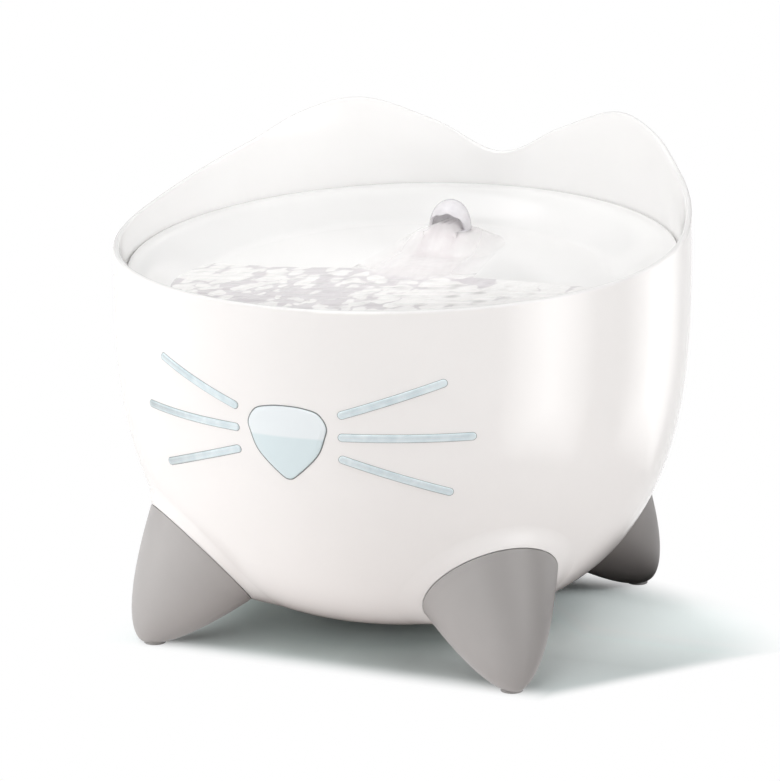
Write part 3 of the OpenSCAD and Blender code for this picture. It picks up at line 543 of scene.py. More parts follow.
def grommet_seat():
    """Stepped solid of revolution that the power lead's grommet needs in the back wall."""
    columns = 96
    past_wall = 4 * WALL
    turn = turns(columns)
    seat_y = float(wall_radius(GROMMET_Z)) - GROMMET_SUNK - GROMMET_LIP
    wide = GROMMET_R + GROMMET_RIM
    sections = ((GROMMET_R, seat_y - past_wall), (GROMMET_R, seat_y), (wide, seat_y),
                (wide, seat_y + past_wall))
    rows = [np.stack([r * np.cos(turn), np.full(columns, y), GROMMET_Z + r * np.sin(turn)], 1)
            for r, y in sections]
    shell = Shell()
    shell.grid(rows, first=(0, sections[0][1], GROMMET_Z), last=(0, sections[-1][1], GROMMET_Z))
    return shell


# ---- Feet ----
FOOT_TIP_S = (FOOT_R * FOOT_TAPER * math.tan(FOOT_LEAN) / FOOT_LEN) ** (1 / (1 - FOOT_TAPER)) * FOOT_LEN


def foot_radius(s):
    return FOOT_R * (s / FOOT_LEN) ** FOOT_TAPER


FOOT_TIP_Z = foot_radius(FOOT_TIP_S) * math.sin(FOOT_LEAN) - FOOT_TIP_S * math.cos(FOOT_LEAN)


def foot_point(s, turn):
    """Point of a foot that points along +X, at the distance s from its tip along its centreline."""
    up = np.array([-math.sin(FOOT_LEAN), 0, math.cos(FOOT_LEAN)])
    out = np.array([math.cos(FOOT_LEAN), 0, math.sin(FOOT_LEAN)])
    side = np.array([0, 1.0, 0])
    s = np.asarray(s, float)[..., None]
    turn = np.asarray(turn, float)[..., None]
    tip = np.array([FOOT_REACH, 0, FOOT_TIP_Z])
    return tip + s * up + foot_radius(s) * (np.cos(turn) * out + np.sin(turn) * side)


def foot_middle(s):
    """Point of the foot's centreline at the distance s from its tip."""
    return np.array([FOOT_REACH - s * math.sin(FOOT_LEAN), 0, FOOT_TIP_Z + s * math.cos(FOOT_LEAN)])


def above_split(points):
    """How far points lie above the seam between foot and collar."""
    normal = np.array([-math.sin(SPLIT_LEAN), 0, math.cos(SPLIT_LEAN)])
    return (points - foot_middle(FOOT_LEN)) @ normal


def outside_bowl(points):
    return np.hypot(points[..., 0], points[..., 1]) - wall_radius(np.maximum(points[..., 2], BASE_Z))


def foot_edges(turn):
    """Distance along the foot at which its side ends, and whether the seam ends it and not the bowl."""
    s = np.linspace(1.0, 1.7 * FOOT_LEN, 1500)
    gap = 0.15
    ends, at_seam = [], []
    for t in turn:
        points = foot_point(s, np.full_like(s, t))
        split, wall = above_split(points), outside_bowl(points) - gap
        over = np.argmax((split > 0) | (wall < 0))
        level = split if split[over] > 0 else -wall
        share = -level[over - 1] / (level[over] - level[over - 1])
        ends.append(s[over - 1] + share * (s[over] - s[over - 1]))
        at_seam.append(split[over] > 0)
    return np.array(ends), np.array(at_seam)


def turned(points, angle):
    """Points of a foot along +X, turned to the angle from the nose."""
    a = math.radians(angle - 90)
    x, y, z = np.moveaxis(np.asarray(points, float), -1, 0)
    return np.stack([x * math.cos(a) - y * math.sin(a), x * math.sin(a) + y * math.cos(a), z], -1)


def foot_shell(angle):
    """Closed skin of a foot. Its top is a shallow cone that points into the bowl."""
    columns, steps, edge = 120, 60, 0.7
    turn = turns(columns)
    ends, _ = foot_edges(turn)
    rows = []
    for k in range(1, steps + 1):
        points = foot_point((ends - edge) * (k / steps) ** 1.7, turn)
        points[:, 2] = np.maximum(points[:, 2], PAD_PROUD)
        rows.append(points)
    rim = foot_point(ends, turn)
    heart = foot_middle(22.0)
    inward = heart - rim
    inward /= np.linalg.norm(inward, axis=1)[:, None]
    rows.append(foot_point(ends - 0.3 * edge, turn) + 0.15 * edge * inward)
    rows.append(rim + 0.5 * edge * inward)
    rows.append(rim + 1.2 * edge * inward)
    for share in (0.3, 0.7):
        rows.append(rim + share * (heart - rim))
    shell = Shell()
    tip = foot_point(0.0, 0.0)
    tip[2] = max(tip[2], PAD_PROUD)
    shell.grid([turned(r, angle) for r in rows], first=turned(tip, angle), last=turned(heart, angle))
    return shell


LIP_H = 12.0
LIP_CENTRE_Z = 30.0


def add_collar(shell, angle):
    """Lip of the bowl over a foot: flush with the foot at the seam, running out on the wall above."""
    columns, steps = 96, 14
    turn = np.linspace(-math.pi, math.pi, 721)
    _, at_seam = foot_edges(turn)
    reach = turn[at_seam]
    turn = np.linspace(reach[0], reach[-1], columns)
    ends, _ = foot_edges(turn)
    seam = foot_point(ends, turn)
    proud = np.maximum(outside_bowl(seam), 0)
    azimuth = np.arctan2(seam[:, 1], seam[:, 0])
    wall_r = wall_radius(seam[:, 2])
    foot_of = np.stack([wall_r * np.cos(azimuth), wall_r * np.sin(azimuth), seam[:, 2]], 1)
    centre = np.array([wall_radius(LIP_CENTRE_Z), 0, LIP_CENTRE_Z])
    away = foot_of - centre
    away /= np.linalg.norm(away, axis=1)[:, None]
    rows = []
    for k in range(steps + 1):
        t = k / steps
        q = foot_of + LIP_H * t * away
        a = np.arctan2(q[:, 1], q[:, 0])
        swell = proud * (1 - t) ** 1.7 * (1 + 0.25 * math.sin(math.pi * t)) - 0.03 * t
        r = wall_radius(q[:, 2]) + swell
        rows.append(np.stack([r * np.cos(a), r * np.sin(a), q[:, 2]], 1))
    sunk = np.array([0.985, 0.985, 1])
    rows = [foot_of * sunk, *rows, rows[-1] * sunk]
    shell.grid([turned(r, angle) for r in rows], wrap=False)


FEET = {
    "foot_front_left": -FOOT_FRONT_ANGLE,
    "foot_front_right": FOOT_FRONT_ANGLE,
    "foot_rear_left": -FOOT_REAR_ANGLE,
    "foot_rear_right": FOOT_REAR_ANGLE,
}


def make_bowl():
    shell = Shell()
    shell.grid(bowl_rows(), first=(0, 0, BASE_Z + RECESS_H), last=(0, 0, FLOOR_Z))
    collars = Shell()
    for angle in FEET.values():
        add_collar(collars, angle)
    make_piece("bowl", shell, WHITE, "bowl", ["reservoir_bowl"], [grommet_seat()], crease=40)
    make_piece("bowl_collars", collars, WHITE, "bowl", crease=40)


def make_feet(lamp):
    """Makes the feet and keeps the lamp off them."""
    for name, angle in FEET.items():
        leg = name.replace("foot", "leg")
        shade_from(lamp, make_piece(leg, foot_shell(angle), FOOT_GREY, "bowl", [name]))


# ---- Face ----
def make_nose():
    """Window with a domed face and its hidden flange, and a dark ring of painted shade in the gap round it.
    """
    line = nose_outline()
    flange = WALL + SEAL_T
    flange_back = -flange - FLANGE_T
    face_in = -2.6
    face_proud = 0.7
    dome = 0.12
    inner = outset(line, face_in)
    middle = inner.mean(0)
    sections = ((FLANGE_W, flange_back), (FLANGE_W, -flange), (-0.35, -flange), (-0.35, 0.2), (-0.5, 0.45),
                (-0.9, 0.6), (-2.2, 0.74), (face_in, face_proud))
    rows = [on_wall(middle + 0.5 * (outset(line, FLANGE_W) - middle), flange_back)]
    rows += [on_wall(outset(line, d), proud) for d, proud in sections]
    rows += [on_wall(middle + share * (inner - middle), face_proud + dome * (1 - share))
             for share in (0.8, 0.55, 0.3, 0.1)]
    ends = [on_wall(middle[None], proud)[0] for proud in (flange_back, face_proud + dome)]
    shell = Shell()
    shell.grid(rows, first=ends[0], last=ends[1])
    make_piece("nose_lens", shell, LENS, "bowl", ["nose_window"], crease=12)
    gap = Shell()
    gap.grid([on_wall(outset(line, d), p) for d, p in ((-0.45, -1.0), (0, -1.0), (0.1, 0.1), (-0.3, 0.22))],
             loop=True)
    make_piece("nose_gap", gap, GAP_SHADE, "bowl")


# Each whisker: height of its inner end, angle and height of its outer end
WHISKERS = {
    "top": (WHISKER_MID_Z + WHISKER_FAN, 30.4, WHISKER_MID_Z + WHISKER_FAN + WHISKER_RISE),
    "middle": (WHISKER_MID_Z, 36.0, WHISKER_MID_Z + 0.5),
    "bottom": (WHISKER_MID_Z - WHISKER_FAN, 31.8, WHISKER_MID_Z - WHISKER_FAN - WHISKER_RISE),
}


def whisker_loop(half, rise, d):
    """Outline at the distance d round the whisker's centre line, in the plane that faces its middle."""
    length = math.hypot(half, rise)
    u = np.array([half, rise]) / length
    v = np.array([-u[1], u[0]])
    side_steps, end_steps = 40, 12
    points = []
    for sign in (1, -1):
        for k in range(side_steps):
            along = sign * length * (2 * k / side_steps - 1)
            points.append(along * u - sign * d * v)
        for k in range(end_steps):
            a = math.pi * (k / end_steps - 0.5)
            points.append(sign * ((length + d * math.cos(a)) * u + d * math.sin(a) * v))
    return np.array(points)


def make_whisker(place, side, low_z, out_angle, high_z):
    """Rounded bar in the wall and a dark ring of painted shade in the gap round it."""
    middle = math.radians((WHISKER_IN + out_angle) / 2)
    half = float(wall_radius(low_z)) * math.sin(math.radians(out_angle - WHISKER_IN) / 2) - WHISKER_W / 2
    rise = (high_z - low_z) / 2
    width = WHISKER_W / 2 - 0.05

    def bar(sections, **closing):
        shell = Shell()
        shell.grid([whisker_row(share * width, proud) for share, proud in sections], **closing)
        return shell

    def whisker_row(d, proud):
        loop = whisker_loop(half, rise, d) + np.array([0, (low_z + high_z) / 2])
        r = wall_radius(loop[:, 1], max(-proud, 0)) + max(proud, 0)
        out = np.sqrt(r**2 - loop[:, 0]**2)
        x = out * math.sin(middle) + loop[:, 0] * math.cos(middle)
        y = -out * math.cos(middle) + loop[:, 0] * math.sin(middle)
        return np.stack([side * x, y, loop[:, 1]], 1)

    node = "whisker_" + ("right_" if side > 0 else "left_") + place
    body = bar(((0.02, -1.5), (0.93, -1.5), (0.93, 0.0), (0.9, 0.3), (0.8, 0.5), (0.62, 0.6), (0.5, 0.56),
                (0.3, 0.5), (0.02, 0.5)))
    make_piece(node.replace("whisker", "whisker_bar"), body, AQUA, "bowl", [node], crease=50)
    gap = bar(((0.85, -1.0), (1.0, -1.0), (1.0, 0.03), (0.9, 0.1)), loop=True)
    make_piece(node.replace("whisker", "whisker_gap"), gap, GAP_SHADE, "bowl")


def make_whiskers():
    for place, (low_z, out_angle, high_z) in WHISKERS.items():
        for side in (1, -1):
            make_whisker(place, side, low_z, out_angle, high_z)


# ---- Dish ----
DISH_COLUMNS = 540
PEG_X = 33.4
PEG_Y = 19.7
PEG_R = 2.8
PEG_SOCKET_R = 4.8
PEG_SOCKET_TOP = 1.5
PEG_SOCKET_LOW = 7.3


def box_shell(x0, x1, y0, y1, z0, z1):
    shell = Shell()
    rows = [[(x0, y0, z), (x1, y0, z), (x1, y1, z), (x0, y1, z)] for z in (z0, z1)]
    middle = ((x0 + x1) / 2, (y0 + y1) / 2)
    shell.grid(rows, first=(*middle, z0), last=(*middle, z1))
    return shell


def tube_shell(shell, x, y, profile, columns=72):
    """Adds a closed solid of revolution about the upright line through (x, y)."""
    turn = turns(columns)
    rows = [np.stack([x + r * np.cos(turn), y + r * np.sin(turn), np.full(columns, z)], 1)
            for r, z in profile]
    shell.grid(rows, loop=True)


def make_dish():
    """Dish with the sockets under it for the riser tube and the filter tray's pegs, and its drain slots."""
    theta = turns(DISH_COLUMNS)
    edge = 0.5
    flat = [(r, 0) for r in np.linspace(1.5, DISH_R - edge, 92)]
    rows = []
    for r, drop in [*flat, (DISH_R - 0.3 * edge, 0.3 * edge), (DISH_R, edge)]:
        rows.append(ring(r, dish_height(r * np.sin(theta), -r * np.cos(theta)) - drop, theta))
    for r, rise in ((DISH_R, edge), (DISH_R - edge, 0)):
        under = SEAM_Z - r * np.cos(theta) * math.tan(DISH_TILT) - DISH_T
        rows.append(ring(r, under + rise, theta))
    for r in np.linspace(DISH_R - 4, 2, 46):
        x, y = r * np.sin(theta), -r * np.cos(theta)
        rows.append(ring(r, dish_height(x, y) - DISH_T, theta))
    shell = Shell()
    middle_z = float(dish_height(0.0, 0.0))
    shell.grid(rows, first=(0, 0, middle_z), last=(0, 0, middle_z - DISH_T))
    socket_r, socket_wall, socket_len = WATER_R + 1.8, 2.0, 14.0
    low_z = float(dish_height(SPOUT_Y, SPOUT_Y)) - socket_len
    tube_shell(shell, 0, SPOUT_Y, [(socket_r, low_z), (socket_r + socket_wall, low_z),
                                   (socket_r + socket_wall, SPOUT_Z - DISH_T), (socket_r, SPOUT_Z - DISH_T)])
    for x in (-PEG_X, PEG_X):
        for y in (CASSETTE_Y - PEG_Y, CASSETTE_Y + PEG_Y):
            z = float(dish_height(0.0, y))
            low_z, top_z = z - PEG_SOCKET_LOW, z - PEG_SOCKET_TOP
            tube_shell(shell, x, y, [(PEG_R, low_z), (PEG_SOCKET_R, low_z), (PEG_SOCKET_R, top_z),
                                     (PEG_R, top_z)], 48)
    cutters = []
    for i in range(DRAIN_COUNT):
        x = (i - (DRAIN_COUNT - 1) / 2) * 2 * DRAIN_W
        cutters.append(box_shell(x - DRAIN_W / 2, x + DRAIN_W / 2, CASSETTE_Y - DRAIN_LEN / 2,
                                 CASSETTE_Y + DRAIN_LEN / 2, POOL_Z - 10, POOL_Z + 6))
    make_piece("dish", shell, DISH_SHADED_WHITE, "dish", ["drinking_dish"], cutters, crease=40)


# ---- Hood ----
def make_hood():
    """Thin domed hood with a wavy mouth, and the plate under it with its tongue and its collar."""
    columns, steps = 144, 24
    psi = turns(columns) - math.pi
    mouth = math.asin((MOUTH_W / 2 + HOOD_T) / HOOD_R)
    inside = np.clip(1 - np.abs(psi / mouth) ** 3, 0, 1)
    wave = 0.5 * np.sin(4 * psi + 0.8) + 0.25 * np.sin(9 * psi)
    low = HOOD_T / 2 + (MOUTH_H + wave) * np.sqrt(inside)
    dome_power = 0.85
    almost_top = math.pi / 2 - 0.02
    rows = []
    for thick, order in ((HOOD_T, range(steps, -1, -1)), (0.0, range(steps + 1))):
        radius, height = HOOD_R - thick, HOOD_H - thick
        start = np.arcsin(np.clip(low / height, 0, 1) ** (1 / dome_power))
        for k in order:
            a = start + (almost_top - start) * k / steps
            r, z = radius * np.cos(a), height * np.sin(a) ** dome_power
            rows.append(np.stack([r * np.sin(psi), SPOUT_Y - r * np.cos(psi), SPOUT_Z + z], 1))
    shell = Shell()
    shell.grid(rows, first=(0, SPOUT_Y, SPOUT_Z + HOOD_H - HOOD_T), last=(0, SPOUT_Y, SPOUT_Z + HOOD_H))
    front = np.cos(psi) > 0
    tongue = np.minimum(LIP_W / 2 / np.maximum(np.abs(np.sin(psi)), 1e-3),
                        (HOOD_R + LIP_LEN) / np.maximum(np.cos(psi), 1e-3))
    outline = np.where(front, np.maximum(HOOD_R, tongue), HOOD_R)
    bore = WATER_R - HOOD_T
    collar_z = -5
    rows = []
    for r, z in ((bore, HOOD_T), (0.97 * outline, HOOD_T), (outline, 0.7 * HOOD_T), (outline, 0.25 * HOOD_T),
                 (0.97 * outline, 0), (WATER_R, 0), (WATER_R, collar_z), (bore, collar_z)):
        r = np.broadcast_to(r, psi.shape)
        rows.append(np.stack([r * np.sin(psi), SPOUT_Y - r * np.cos(psi), np.full(columns, SPOUT_Z + z)], 1))
    shell.grid(rows, loop=True)
    make_piece("hood", shell, HOOD, "hood", ["spout_hood"], crease=40)


# ---- Water ----
def pool_back(x, y):
    """How far, in mm, a place lies in front of the pool's back edge."""
    return (POOL_Z - dish_height(x, y)) / math.tan(DISH_TILT)


def ripple(x, y):
    """Low waves on the pool, in rings from where the flow runs in, crossed by a few others."""
    reach = np.hypot(x, y - 12)
    waves = 0.3 * np.sin(reach / 2.6) * np.exp(-reach / 60)
    for turn, length, height in ((0.3, 11.0, 0.1), (1.9, 8.0, 0.08), (2.7, 14.0, 0.1)):
        along = x * math.cos(turn) + y * math.sin(turn)
        waves = waves + height * np.sin(along * 2 * math.pi / length + turn)
    return waves * smooth(pool_back(x, y) / 25) - 0.8 * smooth((-x - 20) / 50)


def water_height(x, y):
    """Top of the water: the pool at the front, and the film that runs to it from the spout."""
    ahead = SPOUT_Y - y
    width = STREAM_W + STREAM_SPREAD * np.clip(ahead, 0, None)
    across = np.clip(1 - (x / width) ** 2, -1, 1)
    stream = np.where(ahead > 6, 1.8 * FILM * across * smooth((ahead - 6) / 8), -1.0)
    skirt = FILM * np.clip((MOUND_R - 1.5 - np.hypot(x, y - SPOUT_Y)) / 4, -1, 1)
    film = np.maximum(stream, skirt)
    grooves = 0.07 * np.sin(x * 1.1 + 3 * np.sin(0.09 * ahead)) * np.clip(film, 0, 1)
    return np.maximum(POOL_Z + ripple(x, y), dish_height(x, y) + film + grooves)


def make_water(material):
    """Water on the dish: only where its top is over the dish's, with a side wall all round."""
    theta = turns(DISH_COLUMNS)
    top, low, wet = [], [], []
    for r in np.linspace(0.05, DISH_R + 0.3, 97):
        x, y = r * np.sin(theta), -r * np.cos(theta)
        floor = dish_height(x, y)
        z = water_height(x, y)
        top.append(ring(r, z, theta))
        low.append(ring(r, np.minimum(floor, z) - 0.4, theta))
        wet.append(z > floor - 0.05)
    shell = Shell()
    shell.points = np.concatenate([*top, *low]).tolist()
    n, rows = len(theta), len(top)
    half = n * rows
    wet = np.array(wet)
    keep = np.zeros((rows - 1, n), bool)
    for i in range(n):
        j = (i + 1) % n
        keep[:, i] = wet[:-1, i] | wet[1:, i] | wet[:-1, j] | wet[1:, j]
    for k, i in zip(*np.nonzero(keep)):
        j = (i + 1) % n
        a, b, c, d = (int(q) for q in (k * n + i, k * n + j, (k + 1) * n + j, (k + 1) * n + i))
        shell.faces.append((a, b, c, d))
        shell.faces.append((half + d, half + c, half + b, half + a))
        for ok, p, q in ((k > 0 and keep[k - 1, i], a, b), (k < rows - 2 and keep[k + 1, i], c, d),
                         (keep[k, (i - 1) % n], d, a), (keep[k, j], b, c)):
            if not ok:
                shell.faces.append((q, p, half + p, half + q))
    make_piece("water", shell, material, "dish", crease=60)


def make_jet(material):
    """Water that pours from the hood's mouth over its lip, down to the film on the dish."""
    start, end = -3, 24
    narrow, wide = 7.1, 9.5
    thin, thick = 1.6 * FILM, 4.6
    on_lip = SPOUT_Z + HOOD_T + 0.1
    lip_end = HOOD_R + LIP_LEN + 0.3
    across = np.linspace(-1, 1, 25)
    rows = []
    for ahead in np.linspace(start, end, 46):
        x = across * (narrow + (wide - narrow) * float(smooth((ahead - 7) / 15)))
        dish = dish_height(x, SPOUT_Y - ahead)
        height = thin + (thick - thin) * float(smooth((end - ahead) / 16))
        streaks = 0.12 * np.sin(x * 2.1 + 0.4 * math.sin(ahead / 3)) + 0.08 * np.sin(x * 4.7)
        low = np.full_like(x, on_lip) if ahead < lip_end else dish - 0.3
        top = np.maximum(dish + (height + streaks) * (1 - np.abs(across) ** 4), low + 0.05)
        y = np.full_like(x, SPOUT_Y - ahead)
        rows.append(np.concatenate([np.stack([x, y, top], 1), np.stack([x, y, low], 1)[::-1]]))
    shell = Shell()
    shell.grid(rows, first=rows[0].mean(0), last=rows[-1].mean(0))
    make_piece("water_jet", shell, material, "dish", crease=60)


# ---- Floor and world ----
FLOOR_SIZE = 8
# Colours of the floor as the camera sees it and as it lights the object, in the open and under the bowl,
# where both are darker as painted shade
FLOOR_SEEN = (0.905, 0.985, 0.98)
FLOOR_SEEN_SHADOWED = (0.56, 0.655, 0.645)
FLOOR_BOUNCE = (0.86, 0.81, 0.79)
FLOOR_BOUNCE_SHADED = (0.6, 0.55, 0.53)
# Middle and edge of the painted shade under the bowl
UNDER_AT = (-0.015, 0, 0)
UNDER_R = 0.055
UNDER_EDGE_R = 0.1
# Painted shade: a spot beside the rear right foot that gives back no light, so that foot stays dark
FLAG_AT = (0.064, 0.056, 0)
FLAG_R = 0.035
FLAG_EDGE_R = 0.082
# Painted tone of the shadow right of the middle: darker at its front, lighter at its rear
TONE_FRONT = 0.75
TONE_REAR = 1.42
TONE_FRONT_Y = -0.035
TONE_REAR_Y = 0.045
TONE_RIGHT_X = 0.03
# Where the shadow that the camera sees ends: beyond an oval, and in front of a line with a slanted corner
SHADOW_AT_X = 0.035
SHADOW_SQUASH = (1, 1.6, 1)
SHADOW_R = 0.1
SHADOW_EDGE_R = 0.15
SHADOW_FRONT_Y = -0.072
SHADOW_FRONT_EDGE_Y = -0.092
SHADOW_CORNER_X = 0.096
SHADOW_CORNER_SLOPE = 1.3
# How bright the world is to mirrors and to matte surfaces
MIRROR_GLOW = 0.35
FILL_GLOW = 0.03


def distance_from(material, place, centre):
    item = add_node(material, "VectorMath", {0: place, 1: centre}, operation="DISTANCE")
    return item.outputs["Value"]


def scaled(material, ramp, share):
    """The ramp's colour times a number."""
    item = add_node(material, "VectorMath", {0: ramp.outputs["Color"], "Scale": share}, operation="SCALE")
    return item.outputs["Vector"]


def past_shadow(material, axes):
    """1 where the camera sees plain white floor, beyond and in front of the shadow, and 0 in the shadow."""
    soft = {"interpolation_type": "SMOOTHSTEP"}
    reach = add_node(material, "CombineXYZ", {"X": maths(material, "SUBTRACT", axes["X"], SHADOW_AT_X),
                                              "Y": maths(material, "MAXIMUM", axes["Y"], 0.0)}).outputs[0]
    reach = vectors(material, "MULTIPLY", reach, SHADOW_SQUASH)
    reach = add_node(material, "VectorMath", {0: reach}, operation="LENGTH").outputs["Value"]
    far = mapped(material, reach, SHADOW_R, SHADOW_EDGE_R, **soft)
    beyond = maths(material, "MAXIMUM", maths(material, "SUBTRACT", axes["X"], SHADOW_CORNER_X), 0.0)
    line = maths(material, "MULTIPLY_ADD", beyond, -SHADOW_CORNER_SLOPE, axes["Y"])
    front = mapped(material, line, SHADOW_FRONT_Y, SHADOW_FRONT_EDGE_Y, **soft)
    return maths(material, "MAXIMUM", far, front)


def floor_paper():
    """White paper, with a grey-green shadow for the camera: cast by the lamps, deepened and cut to shape by
    painted shade, and glowing white beyond it. The light that it gives back is warm, weak under the bowl as
    painted shade, and fails round one spot beside the rear right foot, which the photo shows in deep shade."""
    material = surface("floor_paper", (0.95, 1.0, 1.0), (0.94, 0.99, 0.99), 0.9, grain=3)
    place, axes = object_place(material)
    outwards = mapped(material, distance_from(material, place, UNDER_AT), UNDER_R, UNDER_EDGE_R)
    flag = mapped(material, distance_from(material, place, FLAG_AT), FLAG_R, FLAG_EDGE_R,
                  interpolation_type="SMOOTHSTEP")
    rearwards = mapped(material, axes["Y"], TONE_FRONT_Y, TONE_REAR_Y, TONE_FRONT, TONE_REAR)
    tone = mixed(material, mapped(material, axes["X"], 0.0, TONE_RIGHT_X), 1.0, rearwards)
    # Painted shade: both colours darken under the bowl, and the light given back also fails at the spot
    bounced = scaled(material, between(material, outwards, FLOOR_BOUNCE_SHADED, FLOOR_BOUNCE), flag)
    shown = scaled(material, between(material, outwards, FLOOR_SEEN_SHADOWED, FLOOR_SEEN), tone)
    rays = add_node(material, "LightPath").outputs
    matte = add_node(material, "BsdfDiffuse",
                     {"Color": mixed_colour(material, rays["Is Camera Ray"], bounced, shown)})
    glow = add_node(material, "Emission", {"Color": (1, 1, 1, 1), "Strength": 1.0})
    seen = maths(material, "MULTIPLY", rays["Is Camera Ray"], past_shadow(material, axes))
    # Mirror rays see the floor glow white, save under the bowl and at the spot, where painted shade leaves
    # the darker matte floor
    mirrored = maths(material, "MULTIPLY", rays["Is Glossy Ray"], flag)
    mirrored = maths(material, "MULTIPLY", mirrored, outwards)
    lit = maths(material, "MAXIMUM", seen, mirrored)
    both = add_node(material, "MixShader", {0: lit, 1: matte.outputs[0], 2: glow.outputs[0]})
    output = material.node_tree.nodes["Material Output"]
    material.node_tree.links.new(both.outputs[0], output.inputs["Surface"])
    return material


def make_floor():
    mesh = bpy.data.meshes.new("floor")
    work = bmesh.new()
    bmesh.ops.create_grid(work, x_segments=8, y_segments=8, size=FLOOR_SIZE)
    work.to_mesh(mesh)
    work.free()
    mesh.materials.append(floor_paper())
    floor = bpy.data.objects.new("floor", mesh)
    bpy.context.scene.collection.objects.link(floor)


def make_world():
    """White round the picture and in reflections, and a weaker fill light."""
    world = bpy.data.worlds.new("studio")
    bpy.context.scene.world = world
    world.use_nodes = True
    back = world.node_tree.nodes["Background"]
    back.inputs["Color"].default_value = (1, 1, 1, 1)
    rays = add_node(world, "LightPath").outputs
    seen = maths(world, "MAXIMUM", rays["Is Camera Ray"], rays["Is Transmission Ray"])
    shiny = maths(world, "MULTIPLY", rays["Is Glossy Ray"], MIRROR_GLOW)
    fill = maths(world, "MULTIPLY", rays["Is Diffuse Ray"], FILL_GLOW)
    level = maths(world, "ADD", maths(world, "ADD", seen, shiny), fill)
    world.node_tree.links.new(level, back.inputs["Strength"])


# ---- Lamps ----
AIM_Z = 0.1
PANEL_LAYERS = 6
PANEL_FADE = 0.07
PANEL_STEP = 0.002
EAR_FILL_AT = (0.02, -0.035, 0.24)


def area_light(name, azimuth, elevation, distance, width, height, glow):
    """Soft lamp that faces the object from an angle from the nose. glow is its brightness against white."""
    data = bpy.data.lights.new(name, "AREA")
    data.shape = "RECTANGLE"
    data.size, data.size_y = width, height
    data.energy = glow * math.pi * width * height
    light = bpy.data.objects.new(name, data)
    a, e = math.radians(azimuth), math.radians(elevation)
    light.location = (distance * math.sin(a) * math.cos(e), -distance * math.cos(a) * math.cos(e),
                      AIM_Z + distance * math.sin(e))
    light.rotation_euler = (math.pi / 2 - e, 0, a)
    light.visible_camera = False
    bpy.context.scene.collection.objects.link(light)
    return light


def shade_from(light, obj):
    """Keeps the light off one piece."""
    linking = light.light_linking
    if linking.receiver_collection is None:
        linking.receiver_collection = bpy.data.collections.new(light.name + "_receivers")
    linking.receiver_collection.objects.link(obj)
    for item in linking.receiver_collection.collection_objects:
        item.light_linking.link_state = "EXCLUDE"


def reflected_panel(name, x, y, azimuth, width, height, glow):
    """Soft-edged upright panel on the floor, close to the bowl, that is seen only as its mirror image in the
    glossy wall. It is built from nested layers."""
    a = math.radians(azimuth)
    for i in range(PANEL_LAYERS):
        share = (i + 1) / PANEL_LAYERS
        lift = PANEL_FADE * (1 - share)
        light = area_light(f"{name}_{i}", azimuth, 0, 1, width * share, height - lift, glow / PANEL_LAYERS)
        back = i * PANEL_STEP
        light.location = (x + back * math.sin(a), y - back * math.cos(a), lift + (height - lift) / 2)
        light.visible_diffuse = False
        light.visible_transmission = False


def make_lamps():
    """Makes all the lamps and returns the one from the right, which leaves out the feet.

    The last number of each is its level. Most levels are the rounded result of a least-squares fit to the
    photo's brightness, made by another program. The places were chosen after such a fit of a ring of
    trial lamps. The sizes are given.
    """
    area_light("key", -60, 14, 2.2, 1.2, 0.9, 0.45)
    area_light("front", 0, 24, 2.2, 1.0, 1.2, 3.35)
    area_light("top_left", -70, 66, 2.2, 1.8, 1.4, 1.4)
    area_light("top_front", -10, 66, 2.2, 1.4, 1.2, 2.35)
    area_light("top_right", 70, 55, 2.2, 1.4, 1.2, 1.25)
    rear_left = area_light("rear_left", -122, 48, 2.2, 1.2, 1.0, 3.5)
    right = area_light("right", 95, 22, 2.2, 1.0, 1.0, 6.2)
    near_left = area_light("near_left", -52, 5, 0.55, 0.5, 0.22, 2.5)
    ear_fill = area_light("ear_fill", 31, 14, 1.0, 0.1, 0.06, 1.8)
    ear_fill.location = EAR_FILL_AT
    for lamp in (rear_left, right, near_left, ear_fill):
        lamp.visible_glossy = False
    reflected_panel("panel_right", 0.24, -0.10, 81, 0.15, 0.3, 3.2)
    reflected_panel("panel_rear", 0.219, 0.095, 140, 0.15, 0.3, 2.3)
    return right


# ---- Finish of the pieces that keep their CAD shape ----
def finish(material, *names):
    """Gives the material to CAD nodes."""
    for name in names:
        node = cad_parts[name]
        node.data.materials.clear()
        node.data.materials.append(material)


finish(surface("pad_rubber", (0.42, 0.41, 0.405), (0.38, 0.371, 0.366), 0.6, bump=2e-5, bump_grain=1500),
       "foot_pads", "cable_grommet")
finish(surface("rubber", (0.2, 0.2, 0.205), (0.15, 0.15, 0.155), 0.7, bump=2e-5, bump_grain=1500),
       "cable_gland", "front_bush", "rear_bush")
finish(surface("soft_seal", (0.72, 0.74, 0.75), (0.66, 0.68, 0.69), 0.45, bump=1e-5, bump_grain=1200),
       "nose_seal", "suction_cups", "tube_seal")
finish(surface("pump_plastic", (0.075, 0.075, 0.08), (0.05, 0.05, 0.055), 0.38, bump=2e-5, bump_grain=1800),
       "pump_housing", "motor_end_cap", "pump_cover")
finish(surface("tray_plastic", (0.72, 0.73, 0.74), (0.66, 0.67, 0.68), 0.32, bump=1e-5, bump_grain=1200),
       "filter_tray")
finish(surface("cassette_plastic", (0.9, 0.9, 0.89), (0.84, 0.84, 0.83), 0.3, bump=1e-5, bump_grain=1200),
       "filter_frame")
finish(surface("open_foam", (0.55, 0.68, 0.78), (0.3, 0.42, 0.53), 0.85, grain=900, sharp=0.12, bump=4e-4,
               bump_grain=1100, pattern="TexVoronoi"), "filter_foam", "intake_foam")
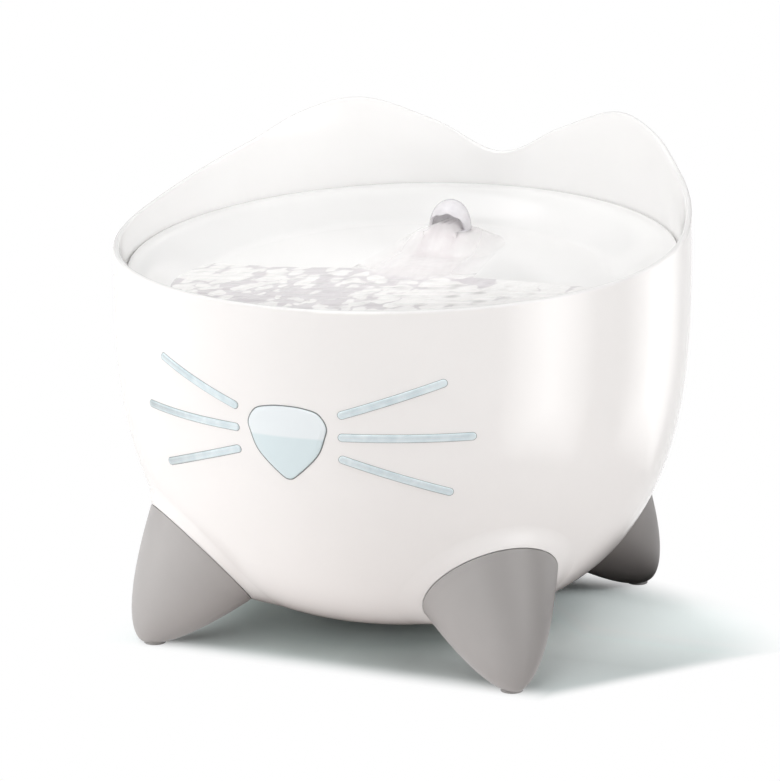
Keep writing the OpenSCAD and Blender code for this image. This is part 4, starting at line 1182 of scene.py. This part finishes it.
finish(surface("carbon_grains", (0.09, 0.09, 0.095), (0.02, 0.02, 0.022), 0.6, grain=700, sharp=0.1,
               bump=5e-4, bump_grain=700, pattern="TexVoronoi"), "filter_carbon")
finish(surface("resin_beads", (0.82, 0.66, 0.3), (0.6, 0.42, 0.14), 0.35, grain=900, sharp=0.15, bump=4e-4,
               bump_grain=900, pattern="TexVoronoi"), "filter_resin")
finish(surface("brushed_steel", (0.62, 0.62, 0.63), (0.5, 0.5, 0.51), 0.28, grain=300, spread=0.1, bump=5e-6,
               bump_grain=2500, Metallic=1.0), "foot_screws", "stator_core", "rotor_shaft")
finish(surface("lacquered_wire", (0.72, 0.38, 0.2), (0.45, 0.2, 0.1), 0.3, grain=300, bump=2.5e-4,
               bump_grain=420, pattern="TexWave", Metallic=0.8), "motor_coil")
finish(surface("board_lacquer", (0.06, 0.28, 0.12), (0.03, 0.18, 0.07), 0.25, grain=400, sharp=0.05),
       "led_board")
finish(surface("clear_plastic", (0.86, 0.88, 0.9), (0.8, 0.83, 0.86), 0.08, Transmission_Weight=0.6,
               IOR=1.49), "led_lens", "riser_tube")
finish(surface("ferrite", (0.09, 0.09, 0.1), (0.05, 0.05, 0.055), 0.55, grain=500, bump=4e-5,
               bump_grain=1300), "rotor_magnet")
finish(surface("impeller_plastic", (0.85, 0.85, 0.84), (0.78, 0.78, 0.77), 0.3, bump=1e-5, bump_grain=1200),
       "impeller")

# ---- Finish of the clear pieces and the water ----
# Painted shade darkens the turned-away edges of the hood and the whiskers
painted_edge_shade(HOOD, (0.5, 0.47, 0.51), 0.55, 0.95)
depth_tint(LENS, TANK_WATER_Z - 0.5, TANK_WATER_Z + 0.5, (0.7, 0.815, 0.85), (0.83, 0.895, 0.925))
painted_edge_shade(AQUA, (0.3, 0.34, 0.35), 0.35, 0.8)
WATER = water_surface()

# ---- The scene ----
make_floor()
make_world()
right_lamp = make_lamps()
make_bowl()
make_feet(right_lamp)
make_nose()
make_whiskers()
make_dish()
make_hood()
make_water(WATER)
make_jet(WATER)
